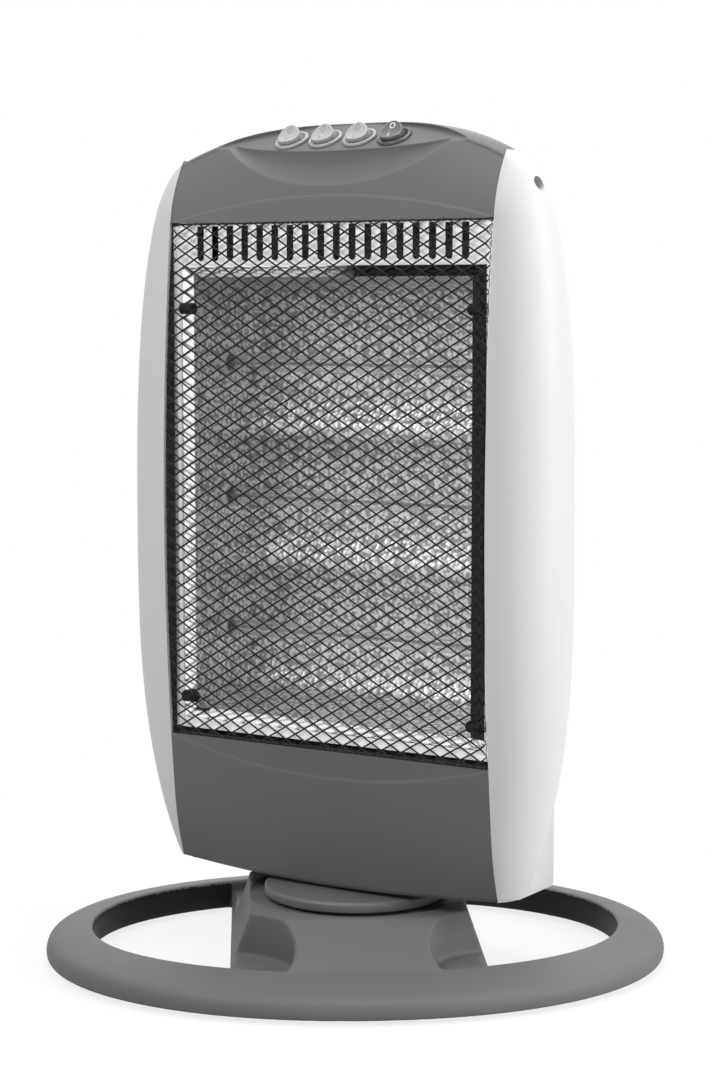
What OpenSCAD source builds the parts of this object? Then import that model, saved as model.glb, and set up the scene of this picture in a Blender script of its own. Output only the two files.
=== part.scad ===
// Halogen heater on an oval swivel base, three quartz lamps behind a bowed mesh.
// Millimetres, +Z up, the head faces -Y, origin on the swivel axis at the floor.

/* [Head] */
// Width of the dark front strip between the two side covers
strip_w = 248; // [236:1:256]
// Height of the head's top ridge above the mesh
console_rise = 64; // [58:1:70]
// Front of the head ahead of the swivel axis, at the bow's middle
front_reach = 46; // [43:0.5:48]
// Rear face of the head behind the swivel axis
rear_reach = 68; // [67.5:0.5:80]
// Radius of the bow of the front, seen from the side
bow_r = 1900; // [1800:20:2400]
// How far each side cover swells out past the strip
cover_bulge = 40.3; // [36:0.1:44]
// Wall of the covers, console and panel
wall = 2.4; // [2:0.1:2.6]
// Gap at the seams between neighbouring covers
seam = 0.2; // [0.15:0.05:0.4]
// Lower edge of the head at the seams
head_low = 56.5; // [56:0.1:57.5]

/* [Front] */
// Lower edge of the mesh
mesh_low = 144.3; // [142:0.1:146]
// Upper edge of the mesh
mesh_high = 490; // [488:0.5:492]
// Thickness of the mesh sheet
mesh_t = 1.2; // [0.8:0.1:1.4]
// Width of one coarse mesh opening with its strand
mesh_pitch_w = 36; // [34:1:44]
// Height of one coarse mesh opening with its strand
mesh_pitch_h = 16; // [15:0.5:20]
// Width of one strand
strand_w = 1.8; // [1.2:0.1:2.4]
// Half width of the window to the reflector
window_half = 110; // [104:1:111]
// Lower edge of the window
window_low = 162; // [158:1:166]
// Upper edge of the window
window_high = 454; // [446:1:457]
// Number of air slots above the window
slot_count = 18; // [12:2:18]
// Distance from slot to slot
slot_pitch = 12; // [10:0.5:12]
// Width of one air slot
slot_w = 4.5; // [3.5:0.1:5.5]

/* [Lamps] */
// Number of lamps
lamp_count = 3; // [3]
// Distance from lamp to lamp
lamp_pitch = 91; // [88:0.5:92]
// Outer diameter of a quartz tube
tube_d = 11; // [10:0.2:12]
// Wall of a quartz tube
tube_wall = 1; // [0.8:0.1:1.2]
// Length of a quartz tube
tube_len = 224; // [222:1:226]
// Diameter of a ceramic end cap
cap_d = 16; // [15:0.2:17]
// Length of a ceramic end cap
cap_len = 17; // [16:0.5:19]

/* [Switches] */
// Number of rocker switches
switch_count = 4; // [4]
// Distance from switch to switch
switch_pitch = 26.3; // [25:0.1:28]
// Diameter of a switch bezel
bezel_d = 23; // [22.5:0.1:24]
// Diameter of the hole for a switch
switch_hole_d = 20; // [19.8:0.1:20.2]
// Tilt of the switch ledge
ledge_tilt = 30; // [27:1:33]
// Tilt of a rocker either way
rocker_tilt = 18; // [10:1:18]

/* [Base] */
// Length of the oval base, side to side
base_len = 415; // [400:1:430]
// Depth of the oval base, front to back
base_dep = 338; // [328:1:350]
// Width of the base ring at the two sides
ring_side_w = 31.3; // [29:0.1:36]
// Width of the base ring at front and back
ring_front_w = 43.9; // [40:0.1:46]
// Height of the ring's inner edge
ring_inner_z = 22.5; // [21.5:0.1:24]
// Height of the ring's outer edge
ring_outer_z = 14.8; // [14:0.1:16]
// Wall of the base shell
base_wall = 2.4; // [2:0.1:2.8]
// Height of the rubber feet
foot_h = 2.5; // [2:0.1:3]
// Half width of the bridge at its top
bridge_half = 71; // [68:0.5:76]
// Height of the bridge
bridge_z = 43; // [42:0.1:43.5]
// Turn of the base under the head, as photographed
base_turn = 35; // [0:1:38]

/* [Swivel] */
// Swing of the head to each side of the base's front
swing = 40; // [38:1:45]
// Radius of the swivel disc
disc_r = 61.2; // [59:0.1:66]
// Thickness of the swivel disc
disc_t = 7; // [6.5:0.1:7.2]
// Outer diameter of the hollow spindle
spindle_d = 20; // [18:0.5:20.5]
// Bore of the hollow spindle, where the lead passes
spindle_bore = 14; // [12:0.5:15]
// Radial clearance of a running fit
run_gap = 0.06; // [0.03:0.01:0.09]
// Gear module
gear_m = 1; // [0.98:0.01:1.02]
// Teeth on a full turn of the fixed gear
gear_n = 56; // [56]
// Teeth on the motor pinion
pinion_n = 14; // [14]

/* [Hidden] */
$fn = 64;
eps = 0.01;
strip_half = strip_w / 2;
head_top = mesh_high + console_rise;
bow_mid = 300;
mid_y = -10.8;
lamp_z = [for (i = [0 : lamp_count - 1]) 305 + (1 - i) * lamp_pitch];
lamp_y = 8;
shell_grey = [0.86, 0.86, 0.85];
console_grey = [0.47, 0.47, 0.47];
steel = [0.72, 0.72, 0.73];
black = [0.06, 0.06, 0.06];

// Front of the strip at its seams, as a distance along Y: a bow with a roll at each end
roll_top = 10;
roll_low = 4.5;
function sq(v) = v * v;
function bow_y(z) = -front_reach + sq(z - bow_mid) / (2 * bow_r);
function top_roll(z) = z > mesh_high ? roll_top * sq((z - mesh_high) / 40) : 0;
function low_roll(z) = z < 100 ? roll_low * sq((100 - z) / 44) : 0;
function seam_y(z) = bow_y(z) + top_roll(z) + low_roll(z);
// The strip's middle bulges ahead of its seams, more so towards the top and bottom
function ends_share(x) = 0.16 + 0.84 * sq(x / strip_half);
function front_y(x, z) = bow_y(z) + (top_roll(z) + low_roll(z)) * ends_share(x);
function rear_y(z) = 2 * mid_y - seam_y(z);
// Crown of the head's top, lower and further forward towards the seams, and its fall to the back
crown_drop = 22;
crest_y = 3;
ridge_shift = 15;
dome_r = 36;
function side_share(x) = pow(abs(x / strip_half), 2.8);
function crown_z(x) = head_top - crown_drop * side_share(x);
function peak_y(x) = crest_y - ridge_shift * side_share(x);
function dome_z(x, y) = crown_z(x) - (y > peak_y(x) ? sq(y - peak_y(x)) / (2 * dome_r) : 0);
// Lower edge of the bottom panel
smile_drop = 5.5;
function panel_low(x) = head_low - smile_drop * (1 - sq(x / strip_half));

// The triangles that close an outline of n points: a fan of rungs, as in a crescent
function rungs(n, at, flip) = [for (j = [0 : n / 2 - 2])
    let (a = at + j, b = at + j + 1, c = at + n - 2 - j, d = at + n - 1 - j)
    each flip ? [[a, c, b], [a, d, c]] : [[a, b, c], [a, c, d]]];

// A solid skinned over rows of points; wrap joins the last row to the first
module loft(rows, wrap = false) {
    m = len(rows);
    n = len(rows[0]);
    sides = [for (i = [0 : m - (wrap ? 1 : 2)], j = [0 : n - 1])
        let (k = (i + 1) % m, l = (j + 1) % n)
        each [[i * n + j, i * n + l, k * n + l], [i * n + j, k * n + l, k * n + j]]];
    caps = wrap ? [] : n % 2 == 0 ? concat(rungs(n, 0, true), rungs(n, (m - 1) * n, false))
        : [[for (j = [n - 1 : -1 : 0]) j], [for (j = [0 : n - 1]) (m - 1) * n + j]];
    polyhedron([for (r = rows) each r], concat(sides, caps), convexity = 6);
}

// An outline in Y and Z pushed out along X, centred
module along_x(half) {
    rotate([90, 0, 90]) translate([0, 0, -half]) linear_extrude(2 * half) children();
}

// An outline in X and Z pushed out along Y, from y0 to y1
module along_y(y0, y1) {
    translate([0, y1, 0]) rotate([90, 0, 0]) linear_extrude(y1 - y0) children();
}

// A bar along X from x0 to x1
module bar_x(r, x0, x1) {
    translate([x0, 0, 0]) rotate([0, 90, 0]) cylinder(r = r, h = x1 - x0);
}

// A tube from z0 to z1
module ring(r, bore, z0, z1) {
    translate([0, 0, z0]) difference() {
        cylinder(r = r, h = z1 - z0);
        translate([0, 0, -eps]) cylinder(r = bore, h = z1 - z0 + 2 * eps);
    }
}

// A pan-head screw, head up, its head's underside at z = 0
screw_r = 1.5;
screw_head_r = 2.9;
screw_head_h = 1.8;
pilot_r = screw_r + run_gap;
module screw(length) {
    translate([0, 0, -length]) cylinder(r = screw_r, h = length + eps);
    difference() {
        cylinder(r = screw_head_r, h = screw_head_h);
        for (a = [0, 90])
            rotate([0, 0, a]) translate([-1.9, -0.35, screw_head_h - 0.8]) cube([3.8, 0.7, 1]);
    }
}

function arc(cy, cz, r, a0, a1, n) =
    [for (i = [0 : n]) let (a = a0 + (a1 - a0) * i / n) [cy + r * cos(a), cz + r * sin(a)]];

// ---------- Base ----------
ring_n = 2.1;
ring_steps = 72;
skirt_z = foot_h + 0.3;
function oval(a, b, t) = [
    a * sign(cos(t)) * pow(abs(cos(t)), 2 / ring_n),
    b * sign(sin(t)) * pow(abs(sin(t)), 2 / ring_n)];
function oval_out(t, s = 0) = oval(base_len / 2 - s, base_dep / 2 - s, t);
function oval_in(t, s = 0) = oval(base_len / 2 - ring_side_w + s, base_dep / 2 - ring_front_w + s, t);

// Points of the ring's section: share of the way out, step outwards, height; s insets it
function ring_shape(s) = [
    [0, s, skirt_z - (s > 0 ? 1 : 0)],
    [0, s, ring_inner_z - 2 - s],
    [0, 0.6 + s, ring_inner_z - 0.6 - s],
    [0, 2.2 + s, ring_inner_z - s],
    [0.5, 0, (ring_inner_z + ring_outer_z) / 2 + 1.5 - s],
    [1, -8, ring_outer_z + 2 - s],
    [1, -3.6 - s / 2, ring_outer_z - s],
    [1, -1.2 - s * 0.9, ring_outer_z - 2.4 - s * 0.6],
    [1, -s, 8.5],
    [1, -0.4 - s, 5],
    [1, -1.5 - s, skirt_z - (s > 0 ? 1 : 0)]];

module ring_solid(s) {
    loft([for (i = [0 : ring_steps - 1])
        let (t = -360 * i / ring_steps, a = oval_in(t), b = oval_out(t), u = (b - a) / norm(b - a))
        [for (p = ring_shape(s)) let (q = a + (b - a) * p[0] + u * p[1]) [q[0], q[1], p[2]]]],
        wrap = true);
}

// The bridge that carries the head, front to back across the ring
bridge_flare = 14;
bridge_plateau = 76;
bridge_reach = base_dep / 2 - ring_front_w + 3;
recess_z = bridge_z - 3;
recess_r = disc_r + 10.8;
scoop_r = 45;
scoop_at = [92, 100];
module bridge_solid(s) {
    foot = skirt_z - (s > 0 ? 1 : 0);
    wide = bridge_half + bridge_flare - s;
    difference() {
        intersection() {
            along_y(-bridge_reach, bridge_reach) polygon([
                [-wide, foot], [wide, foot], [wide, 20], [bridge_half - s, bridge_z - s],
                [s - bridge_half, bridge_z - s], [-wide, 20]]);
            along_x(wide + 1) polygon([
                [-bridge_reach, foot], [bridge_reach, foot],
                [bridge_reach, ring_inner_z - 0.7 - s], [bridge_plateau, bridge_z - s],
                [-bridge_plateau, bridge_z - s], [-bridge_reach, ring_inner_z - 0.7 - s]]);
        }
        translate([0, 0, recess_z - s]) cylinder(r = recess_r + s, h = 20, $fn = 96);
        for (x = [-1, 1], y = [-1, 1])
            translate([x * scoop_at[0], y * scoop_at[1], ring_inner_z - s]) cylinder(r = scoop_r + s, h = 40);
    }
}

pivot_boss_r = 24;
pivot_boss_z = 32;
spindle_r = spindle_d / 2;
boss_r = 4;
ring_mid_y = base_dep / 2 - ring_front_w / 2;
ring_mid_x = base_len / 2 - ring_side_w / 2;
base_bosses = [[ring_mid_x, 0], [-ring_mid_x, 0], [0, ring_mid_y], [0, -ring_mid_y],
    [40, 66], [-40, 66], [40, -66], [-40, -66]];
spindle_bolts = [for (i = [0 : 2]) [(spindle_r + 5) * cos(120 * i), (spindle_r + 5) * sin(120 * i)]];
cover_z = foot_h + 0.3;
cover_t = 2;
boss_z = cover_z + cover_t;
stop_r = 2.5;
stop_at = 46;
stop_turn = 180;
washer_t = 2;
disc_z = recess_z + washer_t;

module base_shell() {
    color(console_grey) rotate([0, 0, base_turn]) difference() {
        union() {
            difference() {
                union() {
                    ring_solid(0);
                    bridge_solid(0);
                }
                ring_solid(base_wall);
                bridge_solid(base_wall);
            }
            translate([0, 0, pivot_boss_z]) cylinder(r = pivot_boss_r, h = recess_z - pivot_boss_z);
            for (p = base_bosses)
                translate([p[0], p[1], boss_z])
                    cylinder(r = boss_r, h = (norm(p) < 100 ? bridge_z - 1 : 18.2) - boss_z);
            rotate([0, 0, stop_turn]) translate([stop_at, 0, recess_z - 1])
                cylinder(r = stop_r, h = washer_t + 5);
        }
        translate([0, 0, pivot_boss_z - 1]) cylinder(r = spindle_r + run_gap, h = 20);
        for (p = base_bosses) translate([p[0], p[1], boss_z - eps]) cylinder(r = pilot_r, h = 8.2);
        for (p = spindle_bolts) translate([p[0], p[1], pivot_boss_z - eps]) cylinder(r = pilot_r, h = 5.2);
    }
}

module base_plan(s) {
    polygon([for (i = [0 : ring_steps - 1]) oval_out(360 * i / ring_steps, s)]);
}
module hole_plan(s) {
    polygon([for (i = [0 : ring_steps - 1]) oval_in(360 * i / ring_steps, s)]);
}
cover_inset = 1.5 + base_wall + 0.8;
module base_cover() {
    color(black) rotate([0, 0, base_turn]) difference() {
        translate([0, 0, cover_z]) linear_extrude(cover_t) difference() {
            base_plan(cover_inset);
            difference() {
                hole_plan(base_wall + 0.6);
                square([2 * (bridge_half + bridge_flare - base_wall - 0.6), base_dep], center = true);
            }
            circle(r = spindle_r + 12);
        }
        for (p = base_bosses)
            translate([p[0], p[1], 0]) cylinder(r = screw_r + 0.15, h = 20);
        for (p = base_bosses)
            translate([p[0], p[1], 0]) cylinder(r = screw_head_r + 0.2, h = cover_z + 0.8);
    }
}

foot_r = 9;
feet = [for (t = [40, 140, 220, 320]) oval(ring_mid_x, ring_mid_y, t)];
module rubber_feet() {
    color(black) rotate([0, 0, base_turn]) for (p = feet) translate([p[0], p[1], 0]) {
        cylinder(r = foot_r - 0.6, h = 0.6);
        translate([0, 0, 0.6 - eps]) cylinder(r = foot_r, h = cover_z - 0.6 + eps);
    }
}

screw_len = 8;
module base_screws() {
    color(steel) rotate([0, 0, base_turn]) {
        for (p = base_bosses) translate([p[0], p[1], cover_z + 0.8]) rotate([180, 0, 0]) screw(screw_len);
        for (p = spindle_bolts)
            translate([p[0], p[1], pivot_boss_z - flange_t]) rotate([180, 0, 0]) screw(screw_len - 1);
    }
}

// ---------- Swivel ----------
flange_t = 2.5;
flange_r = spindle_r + 9;
pan_z = disc_z + disc_t + 5.5;
pan_t = 2.5;
hub_z = pan_z + pan_t + 3;
gear_z = hub_z + washer_t;
gear_t = 6;
nut_z = gear_z + 10;
nut_t = 6;
module pivot_spindle() {
    color(steel) rotate([0, 0, base_turn]) difference() {
        union() {
            translate([0, 0, pivot_boss_z - flange_t]) cylinder(r = flange_r, h = flange_t);
            translate([0, 0, pivot_boss_z - 1])
                cylinder(r = spindle_r, h = nut_z + nut_t + 3 - pivot_boss_z + 1);
        }
        translate([0, 0, pivot_boss_z - 5]) cylinder(r = spindle_bore / 2, h = nut_z + nut_t);
        for (p = spindle_bolts)
            translate([p[0], p[1], pivot_boss_z - 5]) cylinder(r = screw_r + 0.15, h = 10);
    }
}

module thrust_washers() {
    color("ivory") for (z = [recess_z, hub_z])
        ring(spindle_r + 5, spindle_r + run_gap, z, z + washer_t - (z > recess_z ? 0.05 : 0));
}

// Involute gear teeth, coarse flanks, slack between the flanks
pressure = 20;
tooth_slack = 0.08;
gear_r = gear_m * gear_n / 2;
pinion_r = gear_m * pinion_n / 2;
shaft_gap = 0.1;
pinion_y = gear_r + pinion_r + shaft_gap;
function inv(a) = tan(a) * 180 / PI - a;
function half_tooth(r, n, q) =
    let (rb = r * cos(pressure), a = q > rb ? acos(rb / q) : 0)
    90 / n - tooth_slack / r * 180 / PI + inv(pressure) - inv(a);
function tooth(r, n, at) =
    let (tip = r + 0.8 * gear_m, root = r - 1.2 * gear_m, low = max(r * cos(pressure), root + 0.1),
        qs = [for (i = [0 : 3]) low + (tip - low) * i / 3])
    concat([[root, at - half_tooth(r, n, low)]], [for (q = qs) [q, at - half_tooth(r, n, q)]],
        [for (i = [3 : -1 : 0]) [qs[i], at + half_tooth(r, n, qs[i])]], [[root, at + half_tooth(r, n, low)]]);
function polar(ps) = [for (p = ps) [p[0] * cos(p[1]), p[0] * sin(p[1])]];

// The fixed gear has teeth only where the pinion runs
sector_from = floor((90 - swing + base_turn - 15) * gear_n / 360);
sector_to = ceil((90 + swing + base_turn + 15) * gear_n / 360);
module fixed_gear() {
    phase = 90 - round(90 * gear_n / 360) * 360 / gear_n;
    root = gear_r - 1.2 * gear_m;
    color("ivory") difference() {
        union() {
            translate([0, 0, gear_z]) linear_extrude(gear_t) union() {
                circle(r = root + eps, $fn = 96);
                polygon(concat([[0, 0]], polar([for (k = [sector_from : sector_to])
                    each tooth(gear_r, gear_n, k * 360 / gear_n + phase)])));
            }
            translate([0, 0, gear_z]) cylinder(r = spindle_r + 5, h = nut_z - gear_z);
        }
        translate([0, 0, gear_z - 1]) cylinder(r = spindle_r + run_gap, h = 30);
    }
}

module spindle_nut() {
    color(steel) difference() {
        translate([0, 0, nut_z]) cylinder(r = spindle_r + 5, h = nut_t, $fn = 6);
        translate([0, 0, nut_z - 1]) cylinder(r = spindle_r + run_gap, h = 30);
    }
}

motor_r = 22;
motor_t = 20;
motor_off = 7;
motor_z = gear_z + gear_t + 6;
shaft_r = 3;
motor_y = pinion_y + motor_off;
ear_x = motor_r + 6;
ear_t = 2;
module motor_pinion() {
    bore = shaft_r + run_gap;
    color("ivory") translate([0, pinion_y, 0]) difference() {
        union() {
            translate([0, 0, gear_z]) linear_extrude(gear_t)
                polygon(polar([for (k = [0 : pinion_n - 1])
                    each tooth(pinion_r, pinion_n, 270 + (k + 0.5) * 360 / pinion_n)]));
            translate([0, 0, gear_z]) cylinder(r = pinion_r - 1.6, h = gear_t + 3);
        }
        translate([0, 0, gear_z - 1]) cylinder(r = bore, h = 30);
    }
}

module oscillation_motor() {
    color(steel) union() {
        translate([0, motor_y, motor_z]) cylinder(r = motor_r, h = motor_t);
        translate([0, pinion_y, motor_z - 2.5]) cylinder(r = 6, h = 3);
        translate([0, pinion_y, gear_z + 0.5]) cylinder(r = shaft_r, h = motor_z - gear_z);
        difference() {
            translate([-ear_x - 5, motor_y - 6, motor_z]) cube([2 * ear_x + 10, 12, ear_t]);
            for (x = [-ear_x, ear_x])
                translate([x, motor_y, motor_z - 1]) cylinder(r = screw_r + 0.15, h = 5);
        }
    }
}

// Slot angles: the stop pin, fixed to the base, travels here as the head swings
slot_half = 2 * asin((stop_r + 0.3) / 2 / stop_at);
pan_bolts = [[30, 0], [-30, 0], [0, 24]];
hub_r = spindle_r + 6;
module swivel_disc() {
    first = stop_turn - swing - slot_half - 1;
    color(shell_grey) difference() {
        union() {
            translate([0, 0, disc_z]) rotate_extrude($fn = 128) polygon([
                [0, 0], [disc_r - 1, 0], [disc_r, 1],
                [disc_r, disc_t - 1.5], [disc_r - 1.5, disc_t], [0, disc_t]]);
            translate([0, 0, disc_z]) cylinder(r = hub_r, h = hub_z - disc_z);
            for (p = pan_bolts) translate([p[0], p[1], disc_z]) cylinder(r = 5, h = pan_z - disc_z);
        }
        translate([0, 0, disc_z - 1]) cylinder(r = spindle_r + run_gap, h = 40);
        rotate([0, 0, first]) translate([0, 0, disc_z - 1])
            rotate_extrude(angle = 2 * (swing + slot_half + 1))
                translate([stop_at - stop_r - 0.4, 0]) square([2 * stop_r + 0.8, 6.5]);
        for (p = pan_bolts) translate([p[0], p[1], pan_z - 6]) cylinder(r = pilot_r, h = 7);
    }
}

// ---------- Head shell ----------
panel_back = -21.5;
console_back = rear_y(mesh_high);
pan_front = panel_back + 0.3;
pan_rear = rear_reach - 17;
module floor_pan() {
    half = back_half - wall - 0.3;
    color(black) difference() {
        union() {
            translate([-half, pan_front, pan_z]) cube([2 * half, pan_rear - pan_front, pan_t]);
            for (x = [-ear_x, ear_x])
                translate([x, motor_y, pan_z]) cylinder(r = boss_r, h = motor_z - pan_z);
            for (x = [-half, half - 2])
                translate([x, pan_front, pan_z]) cube([2, pan_rear - pan_front, 14]);
        }
        translate([0, 0, pan_z - 1]) cylinder(r = hub_r + 0.1, h = 10);
        for (p = pan_bolts) translate([p[0], p[1], pan_z - 1]) cylinder(r = screw_r + 0.15, h = 5);
        for (x = [-ear_x, ear_x]) translate([x, motor_y, motor_z - 8.2]) cylinder(r = pilot_r, h = 9);
    }
}

module pan_screws() {
    color(steel) {
        for (p = pan_bolts) translate([p[0], p[1], pan_z + pan_t]) screw(screw_len);
        for (x = [-ear_x, ear_x]) translate([x, motor_y, motor_z + ear_t]) screw(screw_len);
    }
}

// Side cover: an arc in plan through both seams, its swell closing at top and bottom
side_mid = 275;
side_high = head_top - crown_drop - 1;
side_low = head_low - 16.3;
side_rows = 24;
side_cols = 12;
edge_ease = 1.4;
function swell(z, s) = let (
    up = (z - side_mid) / (side_high - s - side_mid),
    dn = (side_mid - z) / (side_mid - side_low - s))
    z >= side_mid ? cover_bulge * pow(max(0, 1 - pow(up, 3)), 0.47)
        : cover_bulge * pow(max(0, 1 - pow(dn, 2.87)), 0.907);
function side_h(z) = max(1, swell(z, 0));
function side_h_in(z) = max(side_h(z) / 3 < 0.5 ? side_h(z) / 3 : 0.5, swell(z, wall) - wall);
function bulge(z, h, c) = let (r = (c * c + h * h) / (2 * h), a = 2 * atan2(h, c))
    [for (j = [0 : side_cols]) let (q = -a + 2 * a * j / side_cols)
        [strip_half + seam + h - r + r * cos(q), mid_y + r * sin(q), z]];
function side_z(i) = head_low + (side_high + 1 - head_low) * (1 - cos(180 * i / side_rows)) / 2;
// The lowest rows close the cover's bottom and ease its edge
function side_outer(i) = let (z = side_z(i))
    bulge(z, side_h(z) - (i == 0 ? edge_ease : 0), mid_y - seam_y(z));
function side_row(i) = let (z = side_z(i),
    inner = bulge(z, i < 2 ? 0.5 : side_h_in(z), max(0.5, mid_y - seam_y(z) - wall * 1.2)))
    concat(side_outer(i), [for (j = [side_cols : -1 : 0]) inner[j]]);
well_y = -13.4;
well_z = head_top - 43;
well_r = 4.5;
well_floor = 2;
function well_x() = strip_half + seam;

module side_cover() {
    color(shell_grey) difference() {
        union() {
            loft([for (i = [0 : side_rows]) side_row(i)]);
            intersection() {
                loft([for (i = [0 : side_rows]) side_outer(i)]);
                translate([0, well_y, well_z]) bar_x(well_r + 2, well_x(), well_x() + cover_bulge);
            }
        }
        translate([0, well_y, well_z]) bar_x(well_r, well_x() + well_floor, well_x() + 2 * cover_bulge);
        translate([0, well_y, well_z]) bar_x(screw_r + 0.15, well_x() - 1, well_x() + 10);
    }
}
module left_side_cover() {
    mirror([1, 0, 0]) side_cover();
}
module right_side_cover() {
    side_cover();
}

module side_cover_screws() {
    color(steel) for (s = [0, 1]) mirror([s, 0, 0])
        translate([well_x() + well_floor, well_y, well_z]) rotate([0, 90, 0]) screw(screw_len - 1);
}

// Sections of the console and bottom panel, from seam to seam, inset by s
strip_cols = 16;
function col_x(i, s) = (strip_half - s) * (2 * i / strip_cols - 1);
console_rows = 8;
brow = 5;
brow_steps = 5;
function console_row(x, s, low) = let (
    top = crown_z(x) - s, edge = top - brow, peak = peak_y(x), back = console_back + (s > 0 ? 1 : 0),
    zs = [for (k = [0 : console_rows]) low + (edge - low) * k / console_rows],
    y0 = front_y(x, edge + s) + s)
    concat([for (z = zs) [x, front_y(x, z + (z > low ? s : 0)) + s, z]],
        [for (k = [1 : brow_steps]) let (a = 90 * k / brow_steps)
            [x, peak - (peak - y0) * cos(a), edge + brow * sin(a)]],
        [for (k = [1 : brow_steps]) let (y = peak + (back - peak) * k / brow_steps)
            [x, y, dome_z(x, y) - s]],
        [[x, back, low]]);
module console_solid(s) {
    loft([for (i = [0 : strip_cols]) console_row(col_x(i, s), s, mesh_high - (s > 0 ? 1 : 0))]);
}

// The ledge: a tilted flat cut into the console, round at its back edge
ledge_y = -15.3;
ledge_z = head_top - 11.7;
ledge_back = 21.6;
ledge_half = 90;
ledge_r = (sq(ledge_half) + sq(ledge_back)) / (2 * ledge_back);
module at_ledge() {
    translate([0, ledge_y, ledge_z]) rotate([ledge_tilt, 0, 0]) children();
}
module ledge_cut(s) {
    at_ledge() translate([0, ledge_back - ledge_r, -s]) cylinder(r = ledge_r + s, h = 60, $fn = 128);
}
module at_switch(i) {
    at_ledge() translate([(i - (switch_count - 1) / 2) * switch_pitch, 0, 0]) children();
}
switch_hole_r = switch_hole_d / 2;
side_boss_r = 5;

module top_console() {
    color(console_grey) difference() {
        union() {
            difference() {
                console_solid(0);
                ledge_cut(0);
                difference() {
                    console_solid(wall);
                    ledge_cut(wall);
                }
            }
            for (s = [0, 1]) mirror([s, 0, 0])
                translate([0, well_y, well_z]) bar_x(side_boss_r, strip_half - 8, strip_half - 1);
        }
        for (i = [0 : switch_count - 1])
            at_switch(i) translate([0, 0, -10]) cylinder(r = switch_hole_r, h = 20);
        for (s = [0, 1]) mirror([s, 0, 0])
            translate([0, well_y, well_z]) bar_x(pilot_r, strip_half - 9, strip_half + 1);
    }
}

function panel_row(x, s) = let (
    low = panel_low(x) + s, high = mesh_low - s,
    zs = [for (k = [0 : console_rows]) low + (high - low) * k / console_rows],
    back = panel_back + (s > 0 ? 1 : 0))
    concat([for (z = zs) [x, front_y(x, z) + s, z]], [[x, back, high], [x, back, low]]);
module panel_solid(s) {
    loft([for (i = [0 : strip_cols]) panel_row(col_x(i, s), s)]);
}
module bottom_panel() {
    color(console_grey) difference() {
        panel_solid(0);
        panel_solid(wall);
    }
}

// Back cover: sections in Y and Z under the dome, crossed with the plan, inset by s
back_half = strip_half - 1.5;
back_low = head_low - 5;
back_corner = 20;
back_steps = 40;
dome_steps = 24;
back_cols = 20;
swivel_clear = 38;
function back_front(z) = z > mesh_high ? console_back : rear_y(max(z, head_low));
function back_row(x, s) = let (
    open = s > 0 ? 5 : 0, corner = back_corner - s, rear = rear_reach - s,
    front = console_back + seam - open, low = back_low + s,
    top = dome_z(x, front) - s, heel = dome_z(x, rear) - s, sole = back_low + back_corner)
    concat([for (i = [0 : back_steps]) let (z = low + (top - low) * i / back_steps)
            [x, back_front(z) + seam - open, z]],
        [for (k = [1 : dome_steps]) let (y = front + (rear - front) * k / dome_steps)
            [x, y, dome_z(x, y) - s]],
        [for (k = [1 : 6]) [x, rear, heel + (sole - heel) * k / 7]],
        [for (p = arc(rear_reach - back_corner, sole, corner, 0, -90, 10)) [x, p[0], p[1]]]);
module back_solid(s) {
    intersection() {
        translate([0, 0, back_low - 10]) linear_extrude(head_top) union() {
            translate([s - back_half, 0]) square([2 * (back_half - s), rear_reach - back_corner]);
            translate([back_corner - back_half, 0]) square([2 * (back_half - back_corner), rear_reach - s]);
            for (x = [-1, 1]) translate([x * (back_half - back_corner), rear_reach - back_corner])
                circle(r = back_corner - s);
        }
        loft([for (i = [0 : back_cols]) back_row((strip_half - 0.5) * (2 * i / back_cols - 1), s)]);
    }
}

handle_half = 55;
handle_low = head_top - 114;
handle_high = head_top - 78;
handle_deep = 16;
vent_rows = 16;
vent_pitch = 18;
vent_low = 160;
vent_half = 36;
vent_h = 5;
gland_x = -60;
gland_z = 82;
gland_r = 7;
back_bolts = [for (x = [-1, 1], z = [96, (handle_low + handle_high) / 2]) [x * 88, z]];
module back_cover() {
    color(shell_grey) difference() {
        union() {
            difference() {
                back_solid(0);
                back_solid(wall);
            }
            intersection() {
                translate([-handle_half - wall, rear_reach - handle_deep - wall, handle_low - wall])
                    cube([2 * (handle_half + wall), handle_deep + 1, handle_high - handle_low + 2 * wall]);
                back_solid(0);
            }
            for (p = back_bolts)
                translate([p[0], rear_reach - 1, p[1]]) rotate([90, 0, 0]) cylinder(r = 5, h = 9);
        }
        translate([-handle_half, rear_reach - handle_deep, handle_low])
            cube([2 * handle_half, handle_deep + 1, handle_high - handle_low]);
        translate([0, 0, back_low - 1]) cylinder(r = swivel_clear, h = wall + 2);
        for (x = [-1, 1], k = [0 : vent_rows - 1])
            translate([x * 46 - vent_half, rear_reach - 10, vent_low + k * vent_pitch])
                cube([2 * vent_half, 20, vent_h]);
        translate([gland_x, rear_reach + 5, gland_z]) rotate([90, 0, 0]) cylinder(r = gland_r, h = 15);
        for (p = back_bolts) translate([p[0], rear_reach + 5, p[1]]) rotate([90, 0, 0]) {
            cylinder(r = screw_r + 0.15, h = 20);
            cylinder(r = screw_head_r + 0.4, h = 5 + 3);
        }
    }
}

module back_cover_screws() {
    color(steel) for (p = back_bolts)
        translate([p[0], rear_reach - 3, p[1]]) rotate([-90, 0, 0]) screw(screw_len);
}

module cord_gland() {
    color(black) translate([gland_x, rear_reach, gland_z]) rotate([-90, 0, 0]) difference() {
        union() {
            cylinder(r = gland_r + 3, h = 3);
            translate([0, 0, -wall - 4]) cylinder(r = gland_r - 0.1, h = wall + 5);
            translate([0, 0, -wall - 4]) cylinder(r = gland_r + 2, h = 3.8);
        }
        translate([0, 0, -10]) cylinder(r = 3.6, h = 20);
    }
}

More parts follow.
